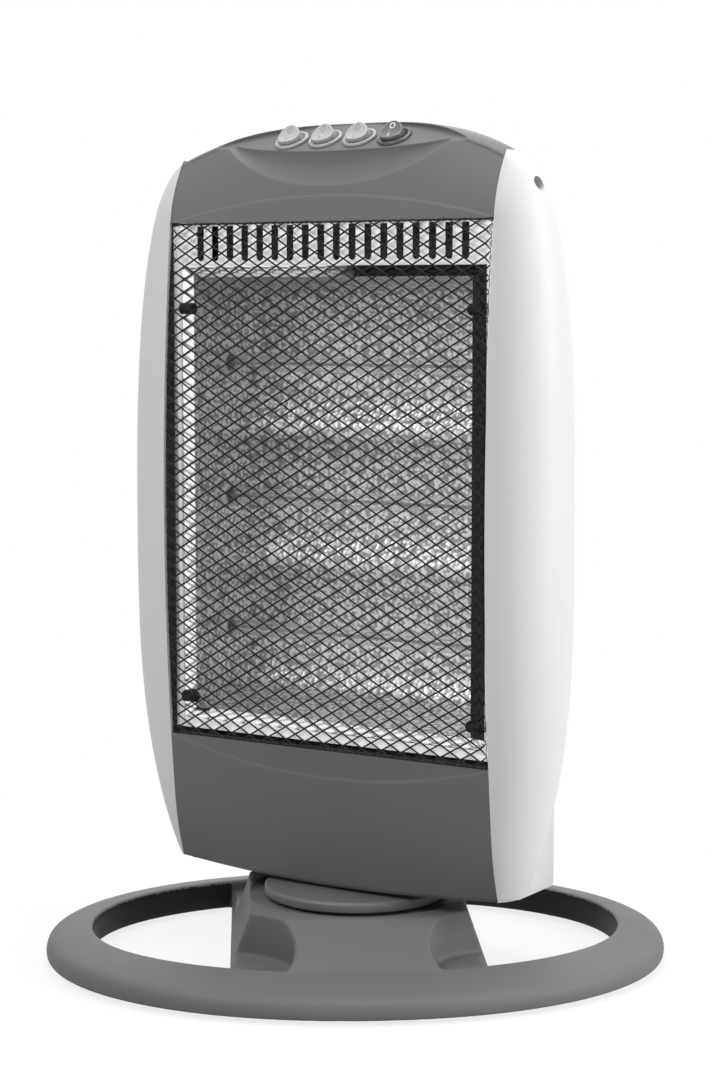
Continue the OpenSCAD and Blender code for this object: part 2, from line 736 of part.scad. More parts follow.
// ---------- Mesh, frame and reflector ----------
mesh_half = strip_half - 1.2;
mesh_set = 0.6;
module front_grille() {
    rows = floor((mesh_high - mesh_low) / mesh_pitch_h);
    low = (mesh_low + mesh_high - rows * mesh_pitch_h) / 2;
    a = mesh_pitch_w / 2 - strand_w;
    b = mesh_pitch_h / 2 - strand_w * mesh_pitch_h / mesh_pitch_w;
    cols = floor(mesh_half / mesh_pitch_w);
    color(black) difference() {
        intersection() {
            translate([0, bow_r - front_reach + mesh_set, bow_mid]) difference() {
                bar_x(bow_r, -mesh_half, mesh_half, $fn = 720);
                bar_x(bow_r - mesh_t, -mesh_half - 1, mesh_half + 1, $fn = 720);
            }
            translate([-mesh_half, -front_reach, mesh_low + seam])
                cube([2 * mesh_half, 20, mesh_high - mesh_low - 2 * seam]);
        }
        along_y(-front_reach - 5, 0) for (r = [0 : 2 * rows - 2])
            for (c = [-cols : cols])
                let (x = (c + (r % 2) / 2) * mesh_pitch_w, z = low + (r + 1) * mesh_pitch_h / 2)
                if (abs(x) + a < mesh_half - 2)
                    translate([x, z]) polygon([[-a, 0], [0, -b], [a, 0], [0, b]]);
    }
}

plate_y = -32.6;
plate_t = 1;
plate_low = mesh_low + 4;
plate_high = mesh_high + 4;
plate_half = strip_half - 3;
bead_w = 7;
stud_r = 3.85;
stud_len = 11;
stud_x = 105.5;
stud_z = [window_low + 8, window_high - 21];
module reflector_frame() {
    color(steel) difference() {
        union() {
            along_y(plate_y, plate_y + plate_t) translate([-plate_half, plate_low])
                square([2 * plate_half, plate_high - plate_low]);
            along_y(plate_y - 0.8, plate_y + plate_t) difference() {
                translate([-window_half - bead_w, window_low - bead_w])
                    square([2 * (window_half + bead_w), window_high - window_low + 2 * bead_w]);
                translate([-window_half - 3, window_low - 3])
                    square([2 * window_half + 6, window_high - window_low + 6]);
            }
        }
        along_y(plate_y - 5, plate_y + 5) {
            translate([-window_half, window_low]) square([2 * window_half, window_high - window_low]);
            for (i = [0 : slot_count - 1]) let (x = (i - (slot_count - 1) / 2) * slot_pitch) {
                translate([x - slot_w / 2, window_high + 10.5 + slot_w / 2])
                    square([slot_w, plate_high - window_high - 17 - slot_w / 2]);
                translate([x, window_high + 10.5 + slot_w / 2]) circle(r = slot_w / 2);
            }
            for (s = [-1, 1], z = stud_z)
                translate([s * (stud_x + stud_len / 2) - stud_len / 2 - 0.2, z - stud_r - 0.15])
                    square([stud_len + 0.4, 2 * stud_r + 0.3]);
        }
    }
}

module grille_studs() {
    color(black) for (s = [0, 1], z = stud_z) mirror([s, 0, 0]) translate([stud_x, plate_y - 1.5, z]) {
        bar_x(stud_r, 1.5, stud_len);
        rotate([0, 90, 0]) cylinder(r1 = stud_r - 1.3, r2 = stud_r, h = 1.5 + eps);
    }
}

// The reflector: one trough behind each lamp, ridges between, flat ends
sheet_t = 0.8;
reflect_y = plate_y + plate_t;
trough_y = 40;
ridge_y = 28;
end_hole_r = cap_d / 2 + 0.5;
ridge_half = 3;
knee = lamp_pitch * 0.374;
flat_half = lamp_pitch * 0.242;
function trough(z, k) = [
    [ridge_y + k, z + lamp_pitch / 2 - ridge_half - k], [trough_y - 8 + k, z + knee],
    [trough_y + k, z + flat_half], [trough_y + k, z - flat_half],
    [trough_y - 8 + k, z - knee], [ridge_y + k, z - lamp_pitch / 2 + ridge_half + k]];
function reflect_line(k) = concat([[reflect_y, window_high + k], [ridge_y + k, window_high - 8 + k]],
    [for (z = lamp_z) each trough(z, k)],
    [[ridge_y + k, window_low + 8 - k], [reflect_y, window_low - k]]);
function reversed(v) = [for (i = [len(v) - 1 : -1 : 0]) v[i]];
module reflector() {
    flange = bead_w - 2;
    color([0.88, 0.88, 0.88]) difference() {
        union() {
            along_x(window_half) polygon(concat(reflect_line(sheet_t), reversed(reflect_line(0))));
            for (s = [-1, 1]) translate([s * (window_half + sheet_t / 2), 0, 0])
                along_x(sheet_t / 2) polygon(reflect_line(sheet_t));
            along_y(reflect_y, reflect_y + sheet_t) difference() {
                translate([-window_half - flange, window_low - flange])
                    square([2 * (window_half + flange), window_high - window_low + 2 * flange]);
                translate([-window_half, window_low]) square([2 * window_half, window_high - window_low]);
            }
        }
        for (z = lamp_z) translate([0, lamp_y, z]) bar_x(end_hole_r, -strip_half, strip_half);
        for (s = [-1, 1], z = stud_z)
            translate([s * (stud_x + stud_len / 2) - stud_len / 2 - 0.2, reflect_y - 5, z - stud_r - 0.15])
                cube([stud_len + 0.4, 8, 2 * stud_r + 0.3]);
    }
}

module lamp_tube(i) {
    color([0.93, 0.93, 0.9]) translate([0, lamp_y, lamp_z[i]]) difference() {
        bar_x(tube_d / 2, -tube_len / 2, tube_len / 2);
        bar_x(tube_d / 2 - tube_wall, -tube_len / 2 - 1, tube_len / 2 + 1);
    }
}

// The filament: a fine coil, modelled here as its rod, held off the glass by ring supports
coil_r = 1.1;
support_count = 8;
module lamp_filament(i) {
    inner = tube_d / 2 - tube_wall - 0.15;
    pitch = (tube_len - 24) / (support_count - 1);
    color("gray") translate([0, lamp_y, lamp_z[i]]) {
        bar_x(coil_r, -tube_len / 2, tube_len / 2);
        for (k = [0 : support_count - 1])
            let (x = (k - (support_count - 1) / 2) * pitch) bar_x(inner, x - 0.4, x + 0.4);
    }
}

cap_in = tube_len / 2 - 6;
cap_out = cap_in + cap_len;
module lamp_caps(i) {
    color("ivory") translate([0, lamp_y, lamp_z[i]]) for (s = [0, 1]) mirror([s, 0, 0]) difference() {
        bar_x(cap_d / 2, cap_in, cap_out);
        bar_x(tube_d / 2 + 0.1, cap_in - 1, tube_len / 2 + 0.2);
        bar_x(2, cap_in, cap_out + 1);
    }
}

bracket_t = 1.2;
bracket_half = 12;
module lamp_bracket() {
    low = min(lamp_z) - 26;
    high = max(lamp_z) + 26;
    color(steel) difference() {
        union() {
            translate([cap_out, lamp_y - bracket_half, low]) cube([bracket_t, 2 * bracket_half, high - low]);
            for (z = [low, high - bracket_t])
                translate([window_half + sheet_t, lamp_y - bracket_half, z])
                    cube([cap_out - window_half - sheet_t + bracket_t, 2 * bracket_half, bracket_t]);
        }
        for (z = lamp_z) translate([0, lamp_y, z]) bar_x(2.5, cap_out - 1, cap_out + 5);
    }
}

shield_y = trough_y + 7;
shield_t = 0.8;
module heat_shield() {
    low = window_low - 8;
    high = window_high + 8;
    color(steel) union() {
        difference() {
            translate([-window_half + 2, shield_y, low]) cube([2 * window_half - 4, shield_t, high - low]);
            for (x = [-2 : 2], z = [low + 14, high - 24])
                translate([x * 40 - 12, shield_y - 1, z]) cube([24, 4, 8]);
        }
        for (x = [-80, 80], z = lamp_z)
            translate([x, shield_y + eps, z]) rotate([90, 0, 0])
                cylinder(r = 3, h = shield_y + eps - trough_y - sheet_t);
    }
}

module thermal_cutout() {
    color("ivory") translate([40, shield_y + shield_t, lamp_z[0] + 30]) rotate([-90, 0, 0]) union() {
        cylinder(r = 8, h = 6);
        translate([-12, -4, 0]) cube([24, 8, 0.8]);
        for (x = [-4, 4]) translate([x - 0.4, -2.4, 6 - eps]) cube([0.8, 4.8, 7]);
    }
}

// ---------- Switches ----------
bezel_t = 2.2;
cup_gap = 0.1;
cup_r = switch_hole_r - cup_gap;
cup_bore = switch_hole_r - 0.9;
cup_deep = 24;
pivot_w = -0.5;
pin_r = 1.2;
mouth_r = cup_bore + 0.4;
rocker_r = cup_bore - 1.3;
module switch_body(i) {
    tone = i == switch_count - 1 ? [0.45, 0.05, 0.05] : [0.82, 0.82, 0.81];
    color(tone) at_switch(i) difference() {
        union() {
            cylinder(r = bezel_d / 2, h = bezel_t - 0.6);
            translate([0, 0, bezel_t - 0.6 - eps])
                cylinder(r1 = bezel_d / 2, r2 = bezel_d / 2 - 0.7, h = 0.6 + eps);
            translate([0, 0, -cup_deep]) cylinder(r = cup_r, h = cup_deep + eps);
            for (x = [-5, 5]) translate([x - 0.4, -2.4, -cup_deep - 8]) cube([0.8, 4.8, 8 + eps]);
        }
        translate([0, 0, -11]) cylinder(r = cup_bore, h = 20);
        translate([0, 0, 0.3]) cylinder(r = mouth_r, h = 20);
        translate([0, 0, pivot_w]) bar_x(pin_r + run_gap, -cup_r - 1, cup_r + 1);
    }
}

rocker_sweep = cup_bore + 2.1;
rocker_low = 4.3;
rocker_mid = 6.5;
rocker_dish = 8;
module rocker(i) {
    tone = i == switch_count - 1 ? [0.6, 0.07, 0.07] : [0.87, 0.87, 0.86];
    color(tone) at_switch(i) translate([0, 0, pivot_w]) rotate([rocker_tilt, 0, 0]) union() {
        difference() {
            intersection() {
                translate([0, 0, -rocker_low]) cylinder(r = rocker_r, h = 20);
                bar_x(rocker_sweep, -rocker_r - 1, rocker_r + 1);
            }
            for (s = [0, 1]) mirror([0, s, 0]) translate([-15, 0, rocker_mid])
                rotate([rocker_dish, 0, 0]) translate([0, -5, 0]) cube([30, 30, 20]);
        }
        bar_x(pin_r, -cup_r + 0.1, cup_r - 0.1);
    }
}

// ---------- Electrics on the floor pan ----------
tip_x = 62;
tip_y = 20;
tip_w = 20;
tip_d = 26;
tip_h = 34;
tip_pin_z = 27;
deck = pan_z + pan_t;
module tip_switch_body() {
    color(black) translate([tip_x, tip_y, deck]) difference() {
        union() {
            translate([-tip_w / 2, -tip_d / 2, 0]) cube([tip_w, tip_d, 2]);
            for (x = [-tip_w / 2, tip_w / 2 - 2]) translate([x, -7, 0]) cube([2, 14, tip_h]);
            translate([-tip_w / 2, -7, tip_h - 2]) cube([tip_w, 14, 8]);
        }
        translate([0, 0, tip_pin_z]) bar_x(1.5 + run_gap, -tip_w, tip_w);
    }
}
module tip_switch_pendulum() {
    color("goldenrod") translate([tip_x, tip_y, deck]) union() {
        translate([0, 0, tip_pin_z]) bar_x(1.5, -tip_w / 2 + 0.1, tip_w / 2 - 0.1);
        translate([-1.5, -1.5, 8]) cube([3, 3, tip_pin_z - 8]);
        translate([0, 0, 4]) cylinder(r = 5, h = 10);
    }
}

module terminal_block() {
    color("ivory") translate([-74, 20, deck]) difference() {
        cube([34, 14, 12]);
        for (k = [0 : 2]) translate([6 + 11 * k, 7, 4]) cylinder(r = 2.2, h = 10);
        for (k = [0 : 2]) translate([6 + 11 * k, -1, 4]) rotate([-90, 0, 0]) cylinder(r = 1.8, h = 16);
    }
}

base_shell();
base_cover();
rubber_feet();
base_screws();
pivot_spindle();
thrust_washers();
fixed_gear();
spindle_nut();
motor_pinion();
oscillation_motor();
swivel_disc();
floor_pan();
pan_screws();
left_side_cover();
right_side_cover();
side_cover_screws();
top_console();
bottom_panel();
back_cover();
back_cover_screws();
cord_gland();
front_grille();
grille_studs();
reflector_frame();
reflector();
for (i = [0 : lamp_count - 1]) {
    lamp_tube(i);
    lamp_filament(i);
    lamp_caps(i);
}
mirror([1, 0, 0]) lamp_bracket();  // left_lamp_bracket
lamp_bracket();  // right_lamp_bracket
heat_shield();
thermal_cutout();
for (i = [0 : switch_count - 1]) {
    switch_body(i);
    rocker(i);
}
tip_switch_body();
tip_switch_pendulum();
terminal_block();
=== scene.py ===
"""Looks of a halogen heater: an upright head with three quartz lamps behind a bowed mesh,
rocker switches on its top, turning on an oval ring base. Sizes are millimetres in the shared
frame and become metres in make(). The head faces -Y and the base is turned under it."""
import math

import bmesh
import bpy
import mathutils
import numpy as np
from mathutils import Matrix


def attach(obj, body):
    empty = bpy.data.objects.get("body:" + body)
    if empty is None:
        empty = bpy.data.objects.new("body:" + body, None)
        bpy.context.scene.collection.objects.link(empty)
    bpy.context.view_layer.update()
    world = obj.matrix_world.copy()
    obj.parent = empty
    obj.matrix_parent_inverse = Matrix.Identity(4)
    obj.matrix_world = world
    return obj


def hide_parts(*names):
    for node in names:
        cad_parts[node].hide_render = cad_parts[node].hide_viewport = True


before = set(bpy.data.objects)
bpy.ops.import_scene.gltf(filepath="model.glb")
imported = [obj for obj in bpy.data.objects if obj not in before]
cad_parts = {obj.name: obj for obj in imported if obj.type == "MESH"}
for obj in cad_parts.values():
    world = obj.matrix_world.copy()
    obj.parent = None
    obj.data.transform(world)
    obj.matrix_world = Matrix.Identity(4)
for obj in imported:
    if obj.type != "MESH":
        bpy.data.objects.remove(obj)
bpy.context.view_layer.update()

MM = 0.001
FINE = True

# Head: half width of the strip between the covers, the seam, the wall, and the heights
STRIP, SEAM, WALL = 124.0, 0.2, 2.4
HEAD_LOW, MESH_LOW, MESH_HIGH, HEAD_TOP = 56.5, 144.3, 490.0, 554.0
REACH, BOW_R, BOW_MID = 46.0, 1900.0, 300.0  # the strip's bowed front
TOP_ROLL, TOP_ROLL_SPAN = 10, 40
LOW_ROLL, LOW_ROLL_FROM, LOW_ROLL_SPAN = 4.5, 100, 44
CROWN_DROP, CREST_Y, RIDGE_SHIFT, DOME_R = 22, 3, 15, 36
MID_Y = -10.8  # the head's middle from front to back
# Side covers: the bulge, its middle and ends, and the screw well
BULGE, SIDE_LOW, SIDE_MID, SIDE_HIGH = 40.3, 40.2, 275.0, 531.0
FOOT_EASE = 2.5
WELL_Y, WELL_Z, WELL_MID = -13.4, 511.0, STRIP + SEAM + 22.6
BOSS_R, WELL_R, BORE_R = 6.5, 4.5, 1.65
# Console: the switch ledge, the arch over the mesh, the cove under the ledge, and the brow's radius
LEDGE_Y, LEDGE_Z, LEDGE_TILT = -15.3, 542.3, math.radians(30)
LEDGE_BACK, LEDGE_HALF = 21.6, 86.0
SWITCH_X = [(i - 1.5) * 26.3 for i in range(4)]
ARCH_TOP, ARCH_R, ARCH_DEEP = 506, 488.5, 0.5
COVE_TOP, COVE_TALL, COVE_HALF, COVE_DEEP = 535, 22.6, 89, 3.8
BROW = 5
SWITCH_HOLE = 10
# Bottom panel: its sag below the head, its back, and the step under the crease
PANEL_SAG, PANEL_BACK, CREASE_DEEP = 5.5, -21.5, 0.9
# Heater: the window, the slotted plate round it, the reflector's troughs, and the lamps
WINDOW_HALF, WINDOW_LOW, WINDOW_HIGH = 110.0, 162.0, 454.0
PLATE_Y, PLATE_HALF, PLATE_T = -32.6, 121.0, 1.0
PLATE_LOW, PLATE_HIGH = MESH_LOW + 4, MESH_HIGH + 4
SLOT_COUNT, SLOT_PITCH, SLOT_HALF = 18, 12, 2.6
SLOT_LOW, SLOT_HIGH = WINDOW_HIGH + 13.1, PLATE_HIGH - 6.5
STUD_X, STUD_LOW, STUD_HIGH = 111, WINDOW_LOW + 8, WINDOW_HIGH - 21
RIM_OUT, RIM_LAP, MOUTH_Y = 6.4, 4.5, -29.6
TROUGH_Y, TROUGH_DEEP, TROUGH_HALF = 28, 12, 42.5
LAMP_Y, LAMP_Z = 8.0, [396.0, 305.0, 214.0]
COIL_R, HOOP_R, WIRE_R = 1.0, 4.05, 0.22
# Switches: a rocker's radius, the height of its face, its tilt, and its pin under the ledge
ROCKER_R, ROCKER_MID, ROCKER_TILT, PIVOT_W = 7.8, 7.0, math.radians(18), -0.5
MARK_HALF, MARK_RISE = 0.36, 0.12
# Base: its turn, the oval ring and the bridge across it
BASE_TURN = math.radians(35)
RING_A, RING_B, RING_N = 207.5, 169.0, 2.1
RING_SIDE, RING_FRONT = 31.3, 43.9
RING_IN_Z, RING_OUT_Z, SKIRT_Z = 22.5, 14.8, 2.8
BRIDGE_HALF, BRIDGE_FLARE, BRIDGE_Z, BRIDGE_FLAT = 71.0, 14.0, 43.0, 76
RECESS_R, RECESS_Z = 72, 40
SCOOP_X, SCOOP_Y, SCOOP_R, SCOOP_Z = 92, 102, 49, 14
BASE_WALL = 2.5


# ---------- Form functions ----------
def bow_y(z):
    """The bow of the strip's front."""
    return -REACH + (z - BOW_MID) ** 2 / (2 * BOW_R)


def top_roll(z):
    """How far the front rolls back at its top."""
    return TOP_ROLL * np.maximum(0, (z - MESH_HIGH) / TOP_ROLL_SPAN) ** 2


def low_roll(z):
    """How far the front rolls back at its foot."""
    return LOW_ROLL * np.maximum(0, (LOW_ROLL_FROM - z) / LOW_ROLL_SPAN) ** 2


def front_y(x, z):
    """The strip's front: a bow whose ends roll back, most at the seams."""
    return bow_y(z) + (top_roll(z) + low_roll(z)) * (0.16 + 0.84 * (x / STRIP) ** 2)


def seam_y(z):
    """The front edge of the seams between strip and covers."""
    return bow_y(z) + top_roll(z) + low_roll(z)


def side_share(x):
    """How far the crown has fallen: 0 in the middle, 1 at the seams."""
    return np.abs(x / STRIP) ** 2.8


def crown_z(x):
    """The top's ridge, lower towards the seams."""
    return HEAD_TOP - CROWN_DROP * side_share(x)


def peak_y(x):
    """Where the ridge runs, further forward towards the seams."""
    return CREST_Y - RIDGE_SHIFT * side_share(x)


def dome_z(x, y):
    """The top's fall behind its ridge."""
    return crown_z(x) - np.maximum(0, y - peak_y(x)) ** 2 / (2 * DOME_R)


def step(t):
    """0 to 1 with soft ends."""
    t = np.clip(t, 0, 1)
    return t * t * (3 - 2 * t)


# ---------- Mesh helpers ----------
def make(name, verts, faces, mat, body, smooth=True):
    """An object from millimetre points, with its material and the body that it rides on."""
    mesh = bpy.data.meshes.new(name)
    mesh.from_pydata((np.asarray(verts, float) * MM).tolist(), [], [list(map(int, f)) for f in faces])
    mesh.update()
    obj = bpy.data.objects.new(name, mesh)
    bpy.context.scene.collection.objects.link(obj)
    tidy(obj)
    mesh.polygons.foreach_set("use_smooth", [smooth] * len(mesh.polygons))
    if mat:
        mesh.materials.append(mat)
    if body:
        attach(obj, body)
    return obj


def tidy(obj):
    """Makes the faces point outwards."""
    bm = bmesh.new()
    bm.from_mesh(obj.data)
    bmesh.ops.recalc_face_normals(bm, faces=bm.faces)
    bm.to_mesh(obj.data)
    bm.free()


def skin(rows, wrap=False):
    """Vertices and faces skinned over closed rows of equal length."""
    rows = np.asarray(rows, float)
    m, n = rows.shape[:2]
    faces = []
    for i in range(m if wrap else m - 1):
        k = (i + 1) % m
        for j in range(n):
            l = (j + 1) % n
            faces.append((i * n + j, i * n + l, k * n + l, k * n + j))
    if not wrap:
        for i, at in ((0, 0), (1, (m - 1) * n)):
            for j in range(n // 2 - 1):
                faces.append((at + j, at + j + 1, at + n - 2 - j, at + n - 1 - j))
    return rows.reshape(-1, 3), faces


def bake(obj):
    """Applies the object's modifiers to its mesh."""
    deps = bpy.context.evaluated_depsgraph_get()
    done = bpy.data.meshes.new_from_object(obj.evaluated_get(deps))
    old = obj.data
    obj.modifiers.clear()
    obj.data = done
    bpy.data.meshes.remove(old)


def cut(obj, tool, operation="DIFFERENCE"):
    """Cuts, joins or intersects an object with a tool, which is used up."""
    mod = obj.modifiers.new("cut", "BOOLEAN")
    mod.operation = operation
    mod.solver = "EXACT"
    mod.object = tool
    bake(obj)
    bpy.data.objects.remove(tool)


def soften(obj, voxel, rounds):
    """Voxel remesh and a light smoothing: turns crisp creases into small fillets."""
    mod = obj.modifiers.new("voxels", "REMESH")
    mod.mode = "VOXEL"
    mod.voxel_size = voxel * MM * (1 if FINE else 2)
    mod.use_smooth_shade = True
    mod = obj.modifiers.new("smooth", "SMOOTH")
    mod.factor = 0.5
    mod.iterations = rounds if FINE else rounds // 3 + 1
    bake(obj)


def bevel(obj, width, angle, segments=2):
    """Rounds the edges sharper than an angle, in the final mesh only."""
    mod = obj.modifiers.new("weld", "WELD")
    mod.merge_threshold = 0.01 * MM
    mod = obj.modifiers.new("bevel", "BEVEL")
    mod.width = width * MM
    mod.segments = segments
    mod.limit_method = "ANGLE"
    mod.angle_limit = math.radians(angle)
    mod.harden_normals = True
    obj.data.polygons.foreach_set("use_smooth", [True] * len(obj.data.polygons))


def cylinder(name, r, depth, centre, axis, mat=None, body=None, sides=64):
    """A capped cylinder along an axis, centred."""
    axis = np.asarray(axis, float) / np.linalg.norm(axis)
    side = np.cross(axis, [0, 0, 1] if abs(axis[2]) < 0.9 else [1, 0, 0])
    side /= np.linalg.norm(side)
    up = np.cross(axis, side)
    t = np.arange(sides) * 2 * math.pi / sides
    ring = (np.outer(np.cos(t), side) + np.outer(np.sin(t), up)) * r
    verts = np.concatenate([np.asarray(centre) + axis * depth * end + ring for end in (-0.5, 0.5)])
    faces = [(j, (j + 1) % sides, sides + (j + 1) % sides, sides + j) for j in range(sides)]
    faces += [tuple(range(sides - 1, -1, -1)), tuple(range(sides, 2 * sides))]
    return make(name, verts, faces, mat, body)


def box(name, xs, ys, zs):
    """A box between pairs of X, Y and Z."""
    verts = [(x, y, z) for x in xs for y in ys for z in zs]
    faces = [(0, 1, 3, 2), (4, 6, 7, 5), (0, 4, 5, 1), (2, 3, 7, 6), (0, 2, 6, 4), (1, 5, 7, 3)]
    return make(name, verts, faces, None, None, False)


def prism(name, outline, lo, hi, axis):
    """An outline pushed along X (given in Y, Z) or along Y (given in X, Z)."""
    n = len(outline)
    verts = [(e, p, q) if axis == "X" else (p, e, q) for e in (lo, hi) for p, q in outline]
    faces = [tuple(range(n)), tuple(range(2 * n - 1, n - 1, -1))]
    faces += [(j, (j + 1) % n, n + (j + 1) % n, n + j) for j in range(n)]
    return make(name, verts, faces, None, None, False)


# ---------- Materials ----------
def shader(name, colour, rough, metal=0.0, **more):
    """A new node material of a grey or colour, its constant values on the shader's own sockets."""
    colour = (colour,) * 3 if np.isscalar(colour) else colour
    mat = bpy.data.materials.new(name)
    mat.use_nodes = True
    bsdf = mat.node_tree.nodes["Principled BSDF"]
    bsdf.inputs["Base Color"].default_value = (*colour, 1)
    bsdf.inputs["Roughness"].default_value = rough
    bsdf.inputs["Metallic"].default_value = metal
    for key, value in more.items():
        bsdf.inputs[key.replace("_", " ")].default_value = value
    mat.diffuse_color = (*colour, 1)
    return mat


def noise(mat, scale, detail, stretch=(1, 1, 1)):
    """A noise texture in the object's own space, in cycles per metre."""
    tree = mat.node_tree
    coord = tree.nodes.new("ShaderNodeTexCoord")
    mapping = tree.nodes.new("ShaderNodeMapping")
    mapping.inputs["Scale"].default_value = stretch
    tex = tree.nodes.new("ShaderNodeTexNoise")
    tex.inputs["Scale"].default_value = scale
    tex.inputs["Detail"].default_value = detail
    tex.inputs["Roughness"].default_value = 0.5
    tree.links.new(coord.outputs["Object"], mapping.inputs["Vector"])
    tree.links.new(mapping.outputs["Vector"], tex.inputs["Vector"])
    return tex.outputs["Fac"]


def ramp(mat, fac, stops):
    """A colour ramp; stops are (place, grey or colour)."""
    node = mat.node_tree.nodes.new("ShaderNodeValToRGB")
    while len(node.color_ramp.elements) < len(stops):
        node.color_ramp.elements.new(0.5)
    for element, (place, tone) in zip(node.color_ramp.elements, stops):
        element.position = place
        element.color = (*([tone] * 3 if np.isscalar(tone) else tone), 1)
    mat.node_tree.links.new(fac, node.inputs["Fac"])
    return node.outputs["Color"]


def map_range(tree, value, low, high, to_low=0, to_high=1):
    """A value mapped from one range to another, and held inside it."""
    node = tree.nodes.new("ShaderNodeMapRange")
    for socket, number in zip(list(node.inputs)[1:5], (low, high, to_low, to_high)):
        socket.default_value = number
    tree.links.new(value, node.inputs["Value"])
    return node.outputs[0]


def feed(mat, value, socket):
    """Links a value to a socket of the material's shader."""
    mat.node_tree.links.new(value, mat.node_tree.nodes["Principled BSDF"].inputs[socket])


def bump(mat, height, strength, distance):
    """Relief of a depth in millimetres."""
    node = mat.node_tree.nodes.new("ShaderNodeBump")
    node.inputs["Strength"].default_value = strength
    node.inputs["Distance"].default_value = distance * MM
    mat.node_tree.links.new(height, node.inputs["Height"])
    feed(mat, node.outputs["Normal"], "Normal")


def moulded(name, tone, rough, grain, spread, **more):
    """Moulded grey plastic: a fine spark-eroded grain, and slightly uneven tone and gloss."""
    mat = shader(name, tone, rough, **more)
    spots = [(0.3, tone * (1 - spread)), (0.7, tone * (1 + spread))]
    feed(mat, ramp(mat, noise(mat, 9, 3), spots), "Base Color")
    sheen = ramp(mat, noise(mat, 35, 5), [(0.3, rough - 0.04), (0.7, rough + 0.05)])
    feed(mat, sheen, "Roughness")
    bump(mat, noise(mat, 1900, 2), 0.35, grain)
    return mat


silver = moulded("silver_plastic", 0.64, 0.5, 0.015, 0.012)
console_grey = moulded("console_grey", 0.152, 0.55, 0.03, 0.03, Specular_IOR_Level=0.35)
panel_grey = moulded("panel_grey", 0.132, 0.55, 0.03, 0.03, Specular_IOR_Level=0.3)
base_grey = moulded("base_grey", 0.145, 0.6, 0.04, 0.03, Specular_IOR_Level=0.2)
disc_grey = moulded("disc_grey", 0.13, 0.5, 0.04, 0.03)
black = moulded("black_plastic", 0.016, 0.55, 0.03, 0.1, Specular_IOR_Level=0.2)
rubber = moulded("rubber", 0.03, 0.8, 0.08, 0.1)
# A near-black sheet for the side seams: painted shade where the gap lies in shadow
seam_painted_shade = moulded("seam_painted_shade_strip", 0.03, 0.9, 0.15, 0.1)
nylon = moulded("white_nylon", 0.7, 0.45, 0.02, 0.02)
rocker_grey = moulded("rocker_grey", 0.42, 0.35, 0.008, 0.01, Coat_Weight=0.2)
rocker_dark = moulded("rocker_dark", 0.12, 0.28, 0.008, 0.02, Coat_Weight=0.4)
bezel_dark = moulded("bezel_dark", 0.085, 0.35, 0.008, 0.02, Coat_Weight=0.3)
mark_grey = moulded("mark_grey", 0.3, 0.5, 0.005, 0.01)
mark_white = moulded("mark_white", 0.8, 0.5, 0.005, 0.01)


def metal(name, colour, rough, scale=500, stretch=(1, 1, 1), depth=0.01):
    """Metal with fine drawing or rolling marks."""
    mat = shader(name, colour, rough, 1.0)
    marks = noise(mat, scale, 5, stretch)
    feed(mat, ramp(mat, marks, [(0.3, tuple(c * 0.9 for c in colour)), (0.7, colour)]), "Base Color")
    cloud = noise(mat, scale / 7, 4, stretch)
    feed(mat, ramp(mat, cloud, [(0.3, rough * 0.8), (0.7, rough * 1.25)]), "Roughness")
    bump(mat, marks, 0.2, depth)
    return mat


steel = metal("steel", (0.55, 0.55, 0.55), 0.3)
brass = metal("brass", (0.62, 0.45, 0.2), 0.3)
wire = metal("filament_wire", (0.3, 0.3, 0.3), 0.4)
mesh_black = shader("mesh_black", 0.008, 0.55, Specular_IOR_Level=0.25)
feed(mesh_black, ramp(mesh_black, noise(mesh_black, 260, 3), [(0.3, 0.005), (0.7, 0.012)]), "Base Color")
bump(mesh_black, noise(mesh_black, 2400, 2), 0.3, 0.02)
bright = metal("bright_aluminium", (0.86, 0.86, 0.86), 0.24, 60, (1, 1, 4), 0.02)
plate_white = shader("plate_white", 0.95, 0.36, 0.85)
feed(plate_white, ramp(plate_white, noise(plate_white, 14, 3), [(0.3, 0.95), (0.7, 0.99)]), "Base Color")
bump(plate_white, noise(plate_white, 900, 3), 0.1, 0.005)
polished_rim_painted_reflection = shader("polished_rim_painted_reflection", 0.95, 0.14, 1.0)
# Painted reflection: the polished rim is painted bright at its left and along its lower edge, and dark
# elsewhere, like a reflected studio edge
tree = polished_rim_painted_reflection.node_tree
spot = tree.nodes.new("ShaderNodeSeparateXYZ")
tree.links.new(tree.nodes.new("ShaderNodeTexCoord").outputs["Object"], spot.inputs[0])
dark = tree.nodes.new("ShaderNodeMath")
dark.operation = "MULTIPLY"
tree.links.new(map_range(tree, spot.outputs["X"], -10 * MM, 20 * MM), dark.inputs[0])
tree.links.new(map_range(tree, spot.outputs["Z"], (WINDOW_LOW - 0.5) * MM, WINDOW_LOW * MM), dark.inputs[1])
feed(polished_rim_painted_reflection, ramp(polished_rim_painted_reflection, dark.outputs[0], [(0, 0.97), (1, 0.03)]), "Base Color")
bump(polished_rim_painted_reflection, noise(polished_rim_painted_reflection, 900, 3), 0.1, 0.005)
ceramic = shader("ceramic", 0.72, 0.7)
feed(ceramic, ramp(ceramic, noise(ceramic, 180, 5), [(0.3, 0.64), (0.7, 0.77)]), "Base Color")
bump(ceramic, noise(ceramic, 1500, 4), 0.5, 0.05)
quartz = shader("quartz", 0.97, 0.06, IOR=1.46, Transmission_Weight=1.0)
feed(quartz, ramp(quartz, noise(quartz, 40, 3), [(0.3, 0.04), (0.7, 0.09)]), "Roughness")
pebbled = shader("pebbled_aluminium", 0.8, 0.32, 0.75)
cells = pebbled.node_tree.nodes.new("ShaderNodeTexVoronoi")
cells.feature = "SMOOTH_F1"
cells.inputs["Scale"].default_value = 330
cells.inputs["Smoothness"].default_value = 0.5
where = pebbled.node_tree.nodes.new("ShaderNodeTexCoord")
pebbled.node_tree.links.new(where.outputs["Object"], cells.inputs["Vector"])
